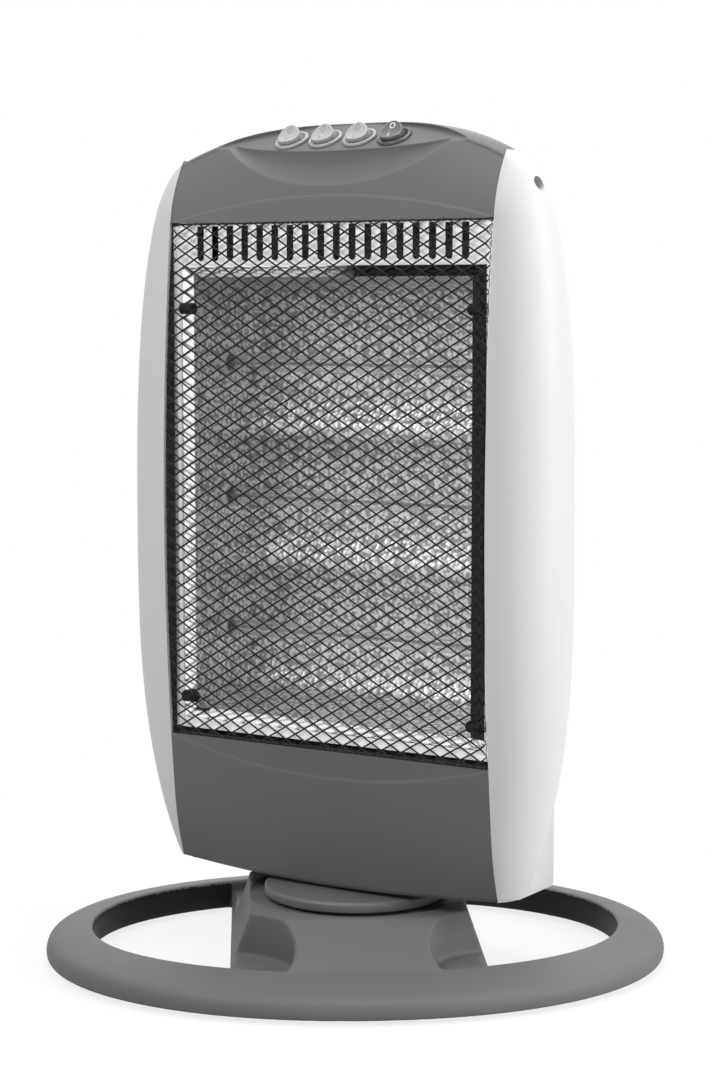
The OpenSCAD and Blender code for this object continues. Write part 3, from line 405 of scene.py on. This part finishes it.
feed(pebbled, ramp(pebbled, cells.outputs["Distance"], [(0.4, 0.95), (0.62, 0.4)]), "Base Color")
feed(pebbled, ramp(pebbled, noise(pebbled, 30, 3), [(0.3, 0.28), (0.7, 0.4)]), "Roughness")
bump(pebbled, cells.outputs["Distance"], 0.55, 0.8)


# ---------- Camera, light and floor ----------
camera = bpy.data.cameras.new("camera")
camera.sensor_fit = "VERTICAL"
camera.sensor_height = 36
camera.lens = 80.64
camera.clip_end = 50
eye = bpy.data.objects.new("camera", camera)
eye.location = (0.8595, -1.3492, 0.4423)
eye.rotation_euler = (math.radians(90 - 5.79), 0, math.radians(32.5))
bpy.context.scene.collection.objects.link(eye)
bpy.context.scene.camera = eye
bpy.context.scene.view_settings.view_transform = "Standard"


def lamp(name, place, size, energy):
    """A soft area light aimed at the head's middle."""
    data = bpy.data.lights.new(name, "AREA")
    data.shape = "RECTANGLE"
    data.size, data.size_y = size
    data.energy = energy
    obj = bpy.data.objects.new(name, data)
    obj.location = place
    way = np.array((0, 0, 0.3)) - np.asarray(place, float)
    yaw = math.atan2(-way[0], way[1])
    obj.rotation_euler = (math.acos(-way[2] / np.linalg.norm(way)), 0, yaw)
    bpy.context.scene.collection.objects.link(obj)


lamp("key", (-0.35, -1.9, 2.1), (1.0, 1.2), 30)
lamp("fill", (2.2, 0.35, 0.9), (0.9, 1.4), 42)
lamp("top", (0.1, 0.2, 2.2), (1.2, 1.2), 21)
lamp("back", (-1.3, 1.7, 1.2), (1.2, 1.2), 14)


def white_where_seen(tree, shade, out, kind):
    """The camera, mirrors and glass see plain white in place of the shade.

    Returns the value that tells them apart, and the mix that it steers."""
    path = tree.nodes.new("ShaderNodeLightPath")
    seen = path.outputs["Is Camera Ray"]
    for ray in ("Is Glossy Ray", "Is Transmission Ray"):
        either = tree.nodes.new("ShaderNodeMath")
        either.operation = "MAXIMUM"
        tree.links.new(seen, either.inputs[0])
        tree.links.new(path.outputs[ray], either.inputs[1])
        seen = either.outputs[0]
    white = tree.nodes.new(kind)
    white.inputs["Color"].default_value = (1, 1, 1, 1)
    white.inputs["Strength"].default_value = 1
    mix = tree.nodes.new("ShaderNodeMixShader")
    tree.links.new(seen, mix.inputs[0])
    tree.links.new(shade.outputs[0], mix.inputs[1])
    tree.links.new(white.outputs[0], mix.inputs[2])
    tree.links.new(mix.outputs[0], out.inputs["Surface"])
    return seen, mix


world = bpy.data.worlds.new("studio")
bpy.context.scene.world = world
world.use_nodes = True
ambient = world.node_tree.nodes["Background"]
ambient.inputs["Color"].default_value = (1, 1, 1, 1)
ambient.inputs["Strength"].default_value = 0.34
white_where_seen(world.node_tree, ambient, world.node_tree.nodes["World Output"], "ShaderNodeBackground")

# The floor is seen white, keeps a soft shadow near the heater, and throws back less light than it shows
floor_mat = shader("floor", 0.5, 0.9)
tree = floor_mat.node_tree
seen, mix = white_where_seen(tree, tree.nodes["Principled BSDF"], tree.nodes["Material Output"],
                             "ShaderNodeEmission")
far = tree.nodes.new("ShaderNodeVectorMath")
far.operation = "LENGTH"
tree.links.new(tree.nodes.new("ShaderNodeTexCoord").outputs["Object"], far.inputs[0])
share = tree.nodes.new("ShaderNodeMath")
share.operation = "MULTIPLY"
tree.links.new(seen, share.inputs[0])
tree.links.new(map_range(tree, far.outputs["Value"], 0.2, 0.6, 0.8, 1), share.inputs[1])
tree.links.new(share.outputs[0], mix.inputs[0])
feed(floor_mat, map_range(tree, seen, 0, 1, 0.5, 0.92), "Base Color")
corners = [(x * 9000, y * 9000, 0) for x, y in ((-1, -1), (1, -1), (1, 1), (-1, 1))]
floor = make("floor", corners, [(0, 1, 2, 3)], floor_mat, None, False)


# ---------- Side covers ----------
def swell(z, s=0.0):
    """How far a cover bulges out of the seam at a height, its ends inset by s."""
    up = np.clip((z - SIDE_MID) / (SIDE_HIGH - s - SIDE_MID), 0, 1)
    down = np.clip((SIDE_MID - z) / (SIDE_MID - SIDE_LOW - s), 0, 1)
    high = BULGE * np.maximum(0, 1 - up ** 3) ** 0.47
    low = BULGE * np.maximum(0, 1 - down ** 2.87) ** 0.907
    return float(np.where(z >= SIDE_MID, high, low))


def cover_arc(z, h, c, cols):
    """Plan of a cover at a height: an arc through both seams."""
    r = (c * c + h * h) / (2 * h)
    q = np.linspace(-2, 2, cols) * math.atan2(h, c)
    return np.stack([STRIP + SEAM + h - r + r * np.cos(q), MID_Y + r * np.sin(q), np.full(cols, z)], 1)


def side_cover(side, node):
    """A closed bulging shell with a screw well near its top."""
    count, cols = (170, 90) if FINE else (60, 32)
    turn = np.pi * np.arange(count + 1) / count
    levels = HEAD_LOW + (SIDE_HIGH + 1 - HEAD_LOW) * (1 - np.cos(turn)) / 2
    outer, rows = [], []
    for z in levels:
        c = MID_Y - float(seam_y(z))
        foot = max(0, 1 - (z - HEAD_LOW) / FOOT_EASE)
        h = max(1.0, swell(z)) - FOOT_EASE * (1 - math.sqrt(1 - foot ** 2))
        inner_h = 0.4 if z < HEAD_LOW + WALL else max(min(0.5, h / 3), swell(z, WALL) - WALL)
        outer.append(cover_arc(z, h, c, cols))
        rows.append(np.concatenate([outer[-1], cover_arc(z, inner_h, max(0.5, c - WALL * 1.2), cols)[::-1]]))
    obj = make("cover_" + node, *skin(rows), silver, None)
    boss = cylinder("boss", BOSS_R, 45, (WELL_MID, WELL_Y, WELL_Z), (1, 0, 0))
    cut(boss, make("plug", *skin(outer), None, None), "INTERSECT")
    cut(obj, boss, "UNION")
    cut(obj, cylinder("well", WELL_R, 60, (STRIP + SEAM + 32, WELL_Y, WELL_Z), (1, 0, 0)))
    cut(obj, cylinder("bore", BORE_R, 30, (STRIP + SEAM, WELL_Y, WELL_Z), (1, 0, 0)))
    if side < 0:
        obj.data.transform(mathutils.Matrix.Scale(-1, 4, (1, 0, 0)))
        tidy(obj)
    bevel(obj, 0.5, 40)
    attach(obj, "head")
    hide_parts(node)


side_cover(1, "right_side_cover")
side_cover(-1, "left_side_cover")


def seam_strip(side, name):
    """A near-black strip that closes the seam between a side cover and the back cover; its colour is painted
    shade for the shadowed gap.
    """
    inner, outer, near, deep = STRIP - 3.6, STRIP + SEAM + 0.3, 0.6, 6.5
    rows = []
    for z in np.linspace(HEAD_LOW + 6, MESH_HIGH - 0.4, 70):
        y = 2 * MID_Y - float(seam_y(z))
        section = [(inner, deep), (outer, deep), (outer, near), (inner, near)]
        rows.append([(side * x, y - d, z) for x, d in section])
    piece = make(name, *skin(rows), seam_painted_shade, "head")


seam_strip(1, "right_seam_strip")
seam_strip(-1, "left_seam_strip")


# ---------- Console ----------
def arch_z(x):
    """The crease of the recessed arch over the mesh."""
    return ARCH_TOP - ARCH_R + np.sqrt(np.maximum(0, ARCH_R ** 2 - x ** 2))


def cove_low(x):
    """The cove's lower edge, which meets the upper one at both ends."""
    return cove_high(x) - COVE_TALL * np.maximum(0, 1 - np.abs(x / COVE_HALF) ** 2.3) ** 0.8


def cove_high(x):
    """The cove's upper edge, just under the ledge."""
    return COVE_TOP + 0.001 * x * x


def console_rows(s, detail):
    """The console's sections from seam to seam, inset by s."""
    cols = 190 if FINE and detail else 40
    back = 2 * MID_Y - float(seam_y(MESH_HIGH)) + (1 if s else 0)
    low = MESH_HIGH - (1 if s else 0)
    turn = np.linspace(0, np.pi / 2, 25 if detail else 9)[1:]
    rows = []
    for x in (STRIP - s) * np.linspace(-1, 1, cols + 1):
        top, peak = float(crown_z(x)) - s, float(peak_y(x))
        z = np.linspace(low, top - BROW, 90 if detail else 24)
        y = front_y(x, z + s) + s
        if detail:
            y = y + ARCH_DEEP * step(z - arch_z(x) + 0.5)
            share = np.clip((z - cove_low(x)) / np.maximum(1, cove_high(x) - cove_low(x)), 0, 1)
            y = y + COVE_DEEP * np.sin(np.pi * share ** 1.2) ** 0.7 * step((COVE_HALF + 1 - abs(x)) / 10)
        else:
            y = y + COVE_DEEP * step((z - cove_low(x) + 8) / 4) * step((COVE_HALF + 14 - abs(x)) / 10)
        y0 = float(front_y(x, top - BROW + s)) + s
        fall = np.linspace(peak, back, 17 if detail else 9)[1:]
        ys = np.concatenate([y, peak - (peak - y0) * np.cos(turn), fall, [back, back]])
        zs = np.concatenate([z, top - BROW + BROW * np.sin(turn), dome_z(x, fall) - s,
                             [(top + low) / 2, low]])
        rows.append(np.stack([np.full(len(ys), x), ys, zs], 1))
    return rows


def ledge_point(x, v, w):
    """A point given on the switch ledge: across, up the slope, and off it."""
    c, s = math.cos(LEDGE_TILT), math.sin(LEDGE_TILT)
    return np.array([x, LEDGE_Y + v * c - w * s, LEDGE_Z + v * s + w * c])


LEDGE_UP = ledge_point(0, 0, 1) - ledge_point(0, 0, 0)


def ledge_tool(s):
    """A wide drum that cuts the ledge, so its back edge is an arc."""
    r = (LEDGE_HALF ** 2 + LEDGE_BACK ** 2) / (2 * LEDGE_BACK)
    return cylinder("ledge", r + s, 60 + s, ledge_point(0, LEDGE_BACK - r, 30 - s / 2), LEDGE_UP, sides=360)


console = make("console_shell", *skin(console_rows(0, True)), console_grey, None)
cut(console, ledge_tool(0))
soften(console, 0.5, 2)
hollow = make("hollow", *skin(console_rows(WALL, False)), None, None)
cut(hollow, ledge_tool(WALL))
cut(console, hollow)
for x in SWITCH_X:
    cut(console, cylinder("hole", SWITCH_HOLE, 20, ledge_point(x, 0, 0), LEDGE_UP))
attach(console, "head")
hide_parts("top_console")


# ---------- Bottom panel ----------
def panel_low(x):
    """The panel's lower edge sags in the middle."""
    return HEAD_LOW - PANEL_SAG * (1 - (x / STRIP) ** 2)


def crease_z(x):
    """The curved crease across the panel, which rises to the mesh at both ends."""
    return np.interp(np.abs(x), [0, 30, 58, 80, 100, 123], [126, 126.8, 129.5, 133.2, 137.8, 143])


def panel_rows(s, detail):
    """The panel's sections from seam to seam, inset by s."""
    cols = 140 if FINE and detail else 32
    rows = []
    for x in (STRIP - s) * np.linspace(-1, 1, cols + 1):
        z = np.linspace(float(panel_low(x)) + s, MESH_LOW - s, 110 if detail else 20)
        y = front_y(x, z) + s
        if detail:
            y = y + CREASE_DEEP * step((z - crease_z(x) + 0.5))
            y = y + 1.2 * (np.maximum(0, panel_low(x) + 3 - z) / 3) ** 2
        back = PANEL_BACK + (1 if s else 0)
        ys, zs = np.append(y, [back, back]), np.append(z, [z[-1], z[0]])
        rows.append(np.stack([np.full(len(ys), x), ys, zs], 1))
    return rows


panel = make("lower_panel", *skin(panel_rows(0, True)), panel_grey, None)
cut(panel, make("hollow", *skin(panel_rows(WALL, False)), None, None))
bevel(panel, 0.4, 50)
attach(panel, "head")
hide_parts("bottom_panel")


# ---------- Mesh ----------
def grille():
    """Expanded sheet: each diamond hole has a ring of strands, one edge leaning out and one in."""
    wide, high, strand, thick, lean = 14.8, 8.55, 0.46, 0.62, 0.2
    half, low, top = 122.8, MESH_LOW + 0.4, MESH_HIGH - 0.3
    index, verts, faces = {}, [], []

    def vert(x, z, y):
        x, z = max(-half, min(half, x)), max(low, min(top, z))
        key = (round(x, 3), round(z, 3), round(y, 3))
        if key not in index:
            index[key] = len(verts)
            verts.append((x, float(bow_y(z)) + 0.7 + y, z))
        return index[key]

    for r in range(-1, int((top - low) / (high / 2)) + 3):
        z = low + r * high / 2
        for c in range(-9, 10):
            x = (c + (r % 2) / 2) * wide
            reach = [(wide / 2, 0), (0, high / 2), (-wide / 2, 0), (0, -high / 2)]
            if abs(x) > half + wide / 2 - 1 or z > top + high / 2 - 0.5 or z < low - high / 2 + 0.5:
                continue
            ring = []
            for a, b in reach:
                hole = (a * (1 - 4.2 * strand / wide), b * (1 - 2.5 * strand / high))
                tilt = lean * np.sign(b)
                ring.append([vert(x + a, z + b, 0), vert(x + hole[0], z + hole[1], tilt),
                             vert(x + hole[0], z + hole[1], thick + tilt), vert(x + a, z + b, thick)])
            for j in range(4):
                p, q = ring[j], ring[(j + 1) % 4]
                faces += [(p[k], q[k], q[k + 1], p[k + 1]) for k in range(3)]
    faces = [face for face in faces if len(set(face)) == 4]
    obj = make("mesh_lattice", verts, faces, mesh_black, "head", False)
    mesh = bmesh.new()
    mesh.from_mesh(obj.data)
    bmesh.ops.dissolve_degenerate(mesh, dist=1e-6, edges=mesh.edges)
    bmesh.ops.holes_fill(mesh, edges=[e for e in mesh.edges if e.is_boundary], sides=4)
    mesh.to_mesh(obj.data)
    mesh.free()
    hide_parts("front_grille")


grille()


def hem(name, z, r):
    """The folded edge of the mesh, slightly uneven."""
    turn = np.linspace(0, 2 * np.pi, 13)[:-1]
    rows = []
    for x in np.linspace(-122.6, 122.6, 120):
        y0, z0 = float(bow_y(z)) + 1.35 + 0.12 * math.sin(x * 1.7), z + 0.15 * math.sin(x * 0.9)
        rows.append(np.stack([np.full(12, x), y0 + r * np.cos(turn), z0 + r * 0.8 * np.sin(turn)], 1))
    make(name, *skin(rows), mesh_black, "head")


hem("mesh_hem_low", MESH_LOW + 0.8, 0.55)
hem("mesh_hem_high", MESH_HIGH - 1.0, 0.7)


# ---------- Plate, rim and reflector ----------
plate = box("plate", (-PLATE_HALF, PLATE_HALF), (PLATE_Y, PLATE_Y + PLATE_T), (PLATE_LOW, PLATE_HIGH))
plate.data.materials.append(plate_white)
for s in (-1, 1):
    reach = sorted((s * (PLATE_HALF - 1), s * (PLATE_HALF + 2)))
    flange = box("flange", reach, (PLATE_Y - 1.9, PLATE_Y + PLATE_T), (PLATE_LOW + 1, MESH_HIGH - 2))
    cut(plate, flange, "UNION")
through = (PLATE_Y - 5, PLATE_Y + 5)
cut(plate, box("window", (-WINDOW_HALF - 6, WINDOW_HALF + 6), through, (WINDOW_LOW - 6, WINDOW_HIGH + 6)))
for i in range(SLOT_COUNT):
    x = (i - (SLOT_COUNT - 1) / 2) * SLOT_PITCH
    cut(plate, box("slot", (x - SLOT_HALF, x + SLOT_HALF), through, (SLOT_LOW, SLOT_HIGH)))
    cut(plate, cylinder("slot", SLOT_HALF, 10, (x, PLATE_Y, SLOT_LOW), (0, 1, 0), sides=32))
for s in (-1, 1):
    for z in (STUD_LOW, STUD_HIGH):
        cut(plate, box("stud_slot", (s * STUD_X - 5.7, s * STUD_X + 5.7), through, (z - 4, z + 4)))
plate.data.polygons.foreach_set("use_smooth", [False] * len(plate.data.polygons))
bevel(plate, 0.2, 40)
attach(plate, "head")
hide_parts("reflector_frame")


def rim_row(d, y):
    """The rim's outline at a distance outside the window; its slope laps over the window's right side."""
    left, right = -WINDOW_HALF - d, WINDOW_HALF + d - RIM_LAP * max(0, 1 - d / RIM_OUT)
    low, high = WINDOW_LOW - d, WINDOW_HIGH + d
    return [(left, y, low), (right, y, low), (right, y, high), (left, y, high)]


# The window's rim: a narrow lip, then a polished slope into the reflector, with a painted reflection in its
# colour
section = [(7.2, PLATE_Y - 0.05), (7.0, PLATE_Y - 0.9), (RIM_OUT, PLATE_Y - 1.1), (6.0, PLATE_Y - 0.8),
           (0.0, MOUTH_Y), (0.2, -28.9), (6.6, -31.4)]
corners = [[rim_row(d, y)[k] for d, y in section] for k in range(4)]
rim = make("window_rim", *skin(corners, wrap=True), polished_rim_painted_reflection, None, False)
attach(rim, "head")


def reflect_profile():
    """The reflector's section in Y and Z: a trough behind each lamp."""
    pts = [(MOUTH_Y, WINDOW_HIGH), (0, WINDOW_HIGH - 3), (24, WINDOW_HIGH - 8)]
    for z in LAMP_Z:
        for k in np.linspace(-1, 1, 25):
            pts.append((TROUGH_Y + TROUGH_DEEP * (1 - abs(k) ** 2.4), z - TROUGH_HALF * k))
    pts += [(24, WINDOW_LOW + 8), (0, WINDOW_LOW + 3), (MOUTH_Y, WINDOW_LOW)]
    return np.array(pts)


def reflector():
    """The troughs, and an end wall at each side with a hole for each lamp."""
    line = reflect_profile()
    way = np.gradient(line, axis=0)
    way /= np.linalg.norm(way, axis=1)[:, None]
    out = line + 0.7 * np.stack([-way[:, 1], way[:, 0]], 1)
    loop = np.concatenate([line, out[::-1]])
    xs = np.linspace(-WINDOW_HALF, WINDOW_HALF, 45)
    rows = [np.column_stack([np.full(len(loop), x), loop]) for x in xs]
    trough = make("reflector_trough", *skin(rows), pebbled, "head")
    bevel(trough, 0.1, 60, 1)
    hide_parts("reflector")
    for s in (-1, 1):
        a, b = s * (WINDOW_HALF + 0.05), s * (WINDOW_HALF + 0.8)
        wall = prism("reflector_end_%s" % ("left" if s < 0 else "right"), out, a, b, "X")
        wall.data.materials.append(pebbled)
        for z in LAMP_Z:
            cut(wall, cylinder("hole", 8.5, 10, (a, LAMP_Y, z), (1, 0, 0)))
        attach(wall, "head")
        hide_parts("reflector")


reflector()


# ---------- Lamp filaments ----------
def filament(i, z):
    """A lamp's coiled wire, and the wire rings that hold it off the quartz."""
    turns, per = (190, 10) if FINE else (95, 6)
    t = np.linspace(0, turns * 2 * np.pi, turns * per + 1)
    path = np.stack([np.linspace(-108, 108, len(t)), LAMP_Y + COIL_R * np.cos(t), z + COIL_R * np.sin(t)], 1)
    way = np.gradient(path, axis=0)
    way /= np.linalg.norm(way, axis=1)[:, None]
    out = np.stack([np.zeros(len(t)), np.cos(t), np.sin(t)], 1)
    out -= way * np.sum(out * way, 1)[:, None]
    out /= np.linalg.norm(out, axis=1)[:, None]
    side = np.cross(way, out)
    rows = [[p + WIRE_R * (math.cos(a) * o + math.sin(a) * s) for a in np.arange(4) * np.pi / 2]
            for p, o, s in zip(path, out, side)]
    coil = make("filament_coil_%d" % i, *skin(rows), wire, "head")
    pieces = [coil]
    edge = np.arange(6) * np.pi / 3
    r = HOOP_R + WIRE_R * np.sin(edge)
    for k in range(8):
        x = (k - 3.5) * 200 / 7
        hoop = [np.stack([x + WIRE_R * np.cos(edge), LAMP_Y + r * math.cos(a), z + r * math.sin(a)], 1)
                for a in np.linspace(0, 2 * np.pi, 33)[:-1]]
        ring = make("filament_support_%d_%d" % (i, k + 1), *skin(hoop, wrap=True), wire, "head")
        pieces.append(ring)
    for piece in pieces:
        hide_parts("lamp_filament_%d" % i)


for i, z in enumerate(LAMP_Z):
    filament(i + 1, z)


# ---------- Switches ----------
def lathe(name, outline, x, mat, body, sides=96):
    """Radius and height pairs turned round a switch's axis."""
    rows = []
    for t in np.arange(sides) * 2 * np.pi / sides:
        rows.append([ledge_point(x + r * math.cos(t), r * math.sin(t), w) for r, w in outline])
    return make(name, *skin(rows, wrap=True), mat, body)


def rocker_point(x0, x, y, z):
    """A point given in a rocker's own frame, tilted about its pin."""
    c, s = math.cos(ROCKER_TILT), math.sin(ROCKER_TILT)
    return ledge_point(x0 + x, y * c - z * s, y * s + z * c + PIVOT_W)


def rocker_face(x, y):
    """Height of a rocker's face over its pin, dished from front to back."""
    return ROCKER_MID + 0.026 * y * y - 0.003 * x * x


# A rocker's section: share of its radius, with the drop under its face or the height over its pin
ROCKER_TOP = [(0.0005, 0), (0.2, 0), (0.4, 0), (0.6, 0), (0.75, 0), (0.86, 0), (0.93, 0.04), (0.97, 0.16),
              (0.993, 0.42), (1, 0.9)]
ROCKER_SIDE = [(1, 3), (1, 0), (1, -3.7), (0.97, -4.2), (0.93, -4.3), (0.0005, -4.3)]


def rocker(i, x0):
    """A round rocker key with its pin and its two marks; the fourth is dark."""
    last, body = i == 4, "switch_rocker_%d" % i
    mat = rocker_dark if last else rocker_grey
    rows = []
    for t in np.arange(96) * 2 * np.pi / 96:
        x, y = ROCKER_R * math.cos(t), ROCKER_R * math.sin(t)
        row = [(x * share, y * share, rocker_face(x * share, y * share) - drop) for share, drop in ROCKER_TOP]
        row += [(x * share, y * share, z) for share, z in ROCKER_SIDE]
        rows.append([rocker_point(x0, *point) for point in row])
    key = make("rocker_%d_key" % i, *skin(rows, wrap=True), mat, body)
    pin = cylinder("rocker_%d_pin" % i, 1.2, 19.6, rocker_point(x0, 0, 0, 0), (1, 0, 0), mat, body, 24)
    for piece in (key, pin):
        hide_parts("rocker_%d" % i)
    turn = np.arange(48) * np.pi / 24
    mark("off", i, x0, [(1.6 * math.cos(a), 3.9 + 1.9 * math.sin(a)) for a in turn], True)
    mark("on", i, x0, [(0, v) for v in np.linspace(-5.6, -2.6, 12)], False)


def mark(name, i, x0, line, closed):
    """A fine raised line printed on a rocker's face."""
    line = np.asarray(line)
    n = len(line)
    way = (np.roll(line, -1, 0) - np.roll(line, 1, 0)) if closed else np.gradient(line, axis=0)
    way /= np.linalg.norm(way, axis=1)[:, None]
    rows = []
    for p, d in zip(line, way):
        side = np.array([-d[1], d[0]]) * MARK_HALF
        row = []
        for q, w in ((p + side, -0.08), (p + side, MARK_RISE), (p - side, MARK_RISE), (p - side, -0.08)):
            row.append(rocker_point(x0, *q, rocker_face(*q) + w))
        rows.append(row)
    tone = mark_white if i == 4 else mark_grey
    obj = make("rocker_%d_mark_%s" % (i, name), *skin(rows, wrap=closed), tone, "switch_rocker_%d" % i, False)


def tab(name, i, x):
    """A flat contact blade under a switch."""
    corners = [(-0.4, -2.4), (0.4, -2.4), (0.4, 2.4), (-0.4, 2.4)]
    pts = [ledge_point(x + a, b, w) for w in (-24.02, -32) for a, b in corners]
    faces = [(0, 1, 2, 3), (7, 6, 5, 4), (0, 4, 5, 1), (1, 5, 6, 2), (2, 6, 7, 3), (3, 7, 4, 0)]
    piece = make("switch_tab_%d_%s" % (i, name), pts, faces, brass, "head", False)
    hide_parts("switch_body_%d" % i)


# A switch's body and rounded bezel: radius and height over the ledge
BEZEL = [(9.1, -11), (9.1, 0.25), (9.2, 0.3), (9.5, 0.35), (9.5, 1.7), (9.62, 2.05), (9.9, 2.2), (10.6, 2.2),
         (11.1, 1.95), (11.4, 1.4), (11.5, 0.7), (11.45, 0.02), (9.9, -0.02), (9.9, -24), (0.2, -24), (0.2, -11)]
for i, x in enumerate(SWITCH_X, 1):
    bezel = lathe("switch_bezel_%d" % i, BEZEL, x, rocker_grey if i < 4 else bezel_dark, "head")
    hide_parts("switch_body_%d" % i)
    tab("a", i, x - 5)
    tab("b", i, x + 5)
    rocker(i, x)


# ---------- Base ----------
def oval(a, b, t):
    """A point of a superellipse at an angle."""
    c, s = math.cos(t), math.sin(t)
    return np.array([a * np.sign(c) * abs(c) ** (2 / RING_N), b * np.sign(s) * abs(s) ** (2 / RING_N)])


def ring_rows(s, steps):
    """The base ring's sections, inset by s: share of the way out, step outwards, height."""
    foot = SKIRT_Z - (1 if s else 0)
    fall = RING_IN_Z - RING_OUT_Z - 1.5
    shape = [(0, s, foot), (0, s, RING_IN_Z - 2 - s), (0, 0.6 + s, RING_IN_Z - 0.6 - s),
             (0, 2.2 + s, RING_IN_Z - s), (0.25, 0, RING_IN_Z - fall * 0.2 - s),
             (0.5, -1, RING_IN_Z - fall * 0.45 - s), (0.75, -3, RING_IN_Z - fall * 0.72 - s),
             (1, -6, RING_OUT_Z + 1.5 - s), (1, -2.6 - s / 2, RING_OUT_Z - 0.2 - s),
             (1, -0.8 - s * 0.9, RING_OUT_Z - 2.6 - s * 0.6), (1, -s, 8.5), (1, -0.4 - s, 5),
             (1, -1.5 - s, foot), (0.5, 0, foot)]
    rows = []
    for i in range(steps):
        t = -2 * math.pi * i / steps
        a, b = oval(RING_A - RING_SIDE, RING_B - RING_FRONT, t), oval(RING_A, RING_B, t)
        u = (b - a) / np.linalg.norm(b - a)
        rows.append([(*(a + (b - a) * share + u * out), z) for share, out, z in shape])
    return rows


def bridge(s):
    """The bridge across the ring, inset by s: flared sides, sloping ends, a round recess and four scoops."""
    foot = SKIRT_Z - (1 if s else 0)
    wide, reach = BRIDGE_HALF + BRIDGE_FLARE - s, RING_B - RING_FRONT + 3
    top, end, half = BRIDGE_Z - s, RING_IN_Z - 0.7 - s, BRIDGE_HALF - s
    obj = prism("bridge", [(-wide, foot), (wide, foot), (half, top), (-half, top)], -reach, reach, "Y")
    slope = [(-reach, foot), (reach, foot), (reach, end), (BRIDGE_FLAT, top), (-BRIDGE_FLAT, top), (-reach, end)]
    cut(obj, prism("side", slope, -wide - 1, wide + 1, "X"), "INTERSECT")
    cut(obj, cylinder("recess", RECESS_R + s, 20, (0, 0, RECESS_Z - s + 10), (0, 0, 1), sides=128))
    for x in (-SCOOP_X, SCOOP_X):
        for y in (-SCOOP_Y, SCOOP_Y):
            cut(obj, cylinder("scoop", SCOOP_R + s, 40, (x, y, SCOOP_Z - s + 20), (0, 0, 1), sides=128))
    return obj


shell = make("base_body", *skin(ring_rows(0, 240 if FINE else 96), wrap=True), base_grey, None)
cut(shell, bridge(0), "UNION")
soften(shell, 1.25, 6)
inner = make("hollow", *skin(ring_rows(BASE_WALL, 96), wrap=True), None, None)
cut(inner, bridge(BASE_WALL), "UNION")
cut(shell, inner)
cut(shell, cylinder("boss", 24, 8, (0, 0, 36), (0, 0, 1)), "UNION")
cut(shell, cylinder("spindle_bore", 10.15, 20, (0, 0, 41), (0, 0, 1)))
cut(shell, cylinder("stop", 2.5, 7.5, (-46, 0, 42.2), (0, 0, 1)), "UNION")
shell.data.materials.append(black)
# The ring's inner wall, up to just under its crest, takes the black material and so is darker than the rest of
# the base
for face in shell.data.polygons:
    x, y, z = face.center / MM
    share = (abs(x) / (RING_A - RING_SIDE)) ** RING_N + (abs(y) / (RING_B - RING_FRONT)) ** RING_N
    upright = 0.9 < share < 1.06 and z < RING_IN_Z - 0.4 and abs(face.normal.z) < 0.5
    if upright and abs(x) > BRIDGE_HALF + BRIDGE_FLARE - 1:
        face.material_index = 1
shell.data.transform(mathutils.Matrix.Rotation(BASE_TURN, 4, "Z"))
shell.data.update()
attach(shell, "base")
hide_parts("base_shell")


# ---------- Carried-over solids: finishes and rounded edges ----------
FINISH = {name: mat for mat, names in (
    (black, "base_cover floor_pan cord_gland grille_studs tip_switch_body"),
    (rubber, "rubber_feet"),
    (steel, "base_screws pivot_spindle spindle_nut oscillation_motor pan_screws side_cover_screws"),
    (steel, "back_cover_screws left_lamp_bracket right_lamp_bracket"),
    (nylon, "thrust_washers fixed_gear motor_pinion terminal_block"),
    (disc_grey, "swivel_disc"),
    (silver, "back_cover"),
    (quartz, "lamp_tube_1 lamp_tube_2 lamp_tube_3"),
    (ceramic, "lamp_caps_1 lamp_caps_2 lamp_caps_3 thermal_cutout"),
    (bright, "heat_shield"),
    (brass, "tip_switch_pendulum")) for name in names.split()}
ROUNDED = {"swivel_disc": 0.5, "back_cover": 0.6, "grille_studs": 0.4, "cord_gland": 0.5, "rubber_feet": 0.4,
           "lamp_caps_1": 0.4, "lamp_caps_2": 0.4, "lamp_caps_3": 0.4, "floor_pan": 0.3, "base_cover": 0.3,
           "terminal_block": 0.3, "tip_switch_body": 0.4, "oscillation_motor": 0.4, "tip_switch_pendulum": 0.3}
for name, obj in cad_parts.items():
    if name in FINISH:
        for slot in obj.material_slots:
            slot.material = FINISH[name]
    if name in ROUNDED:
        bevel(obj, ROUNDED[name], 40)
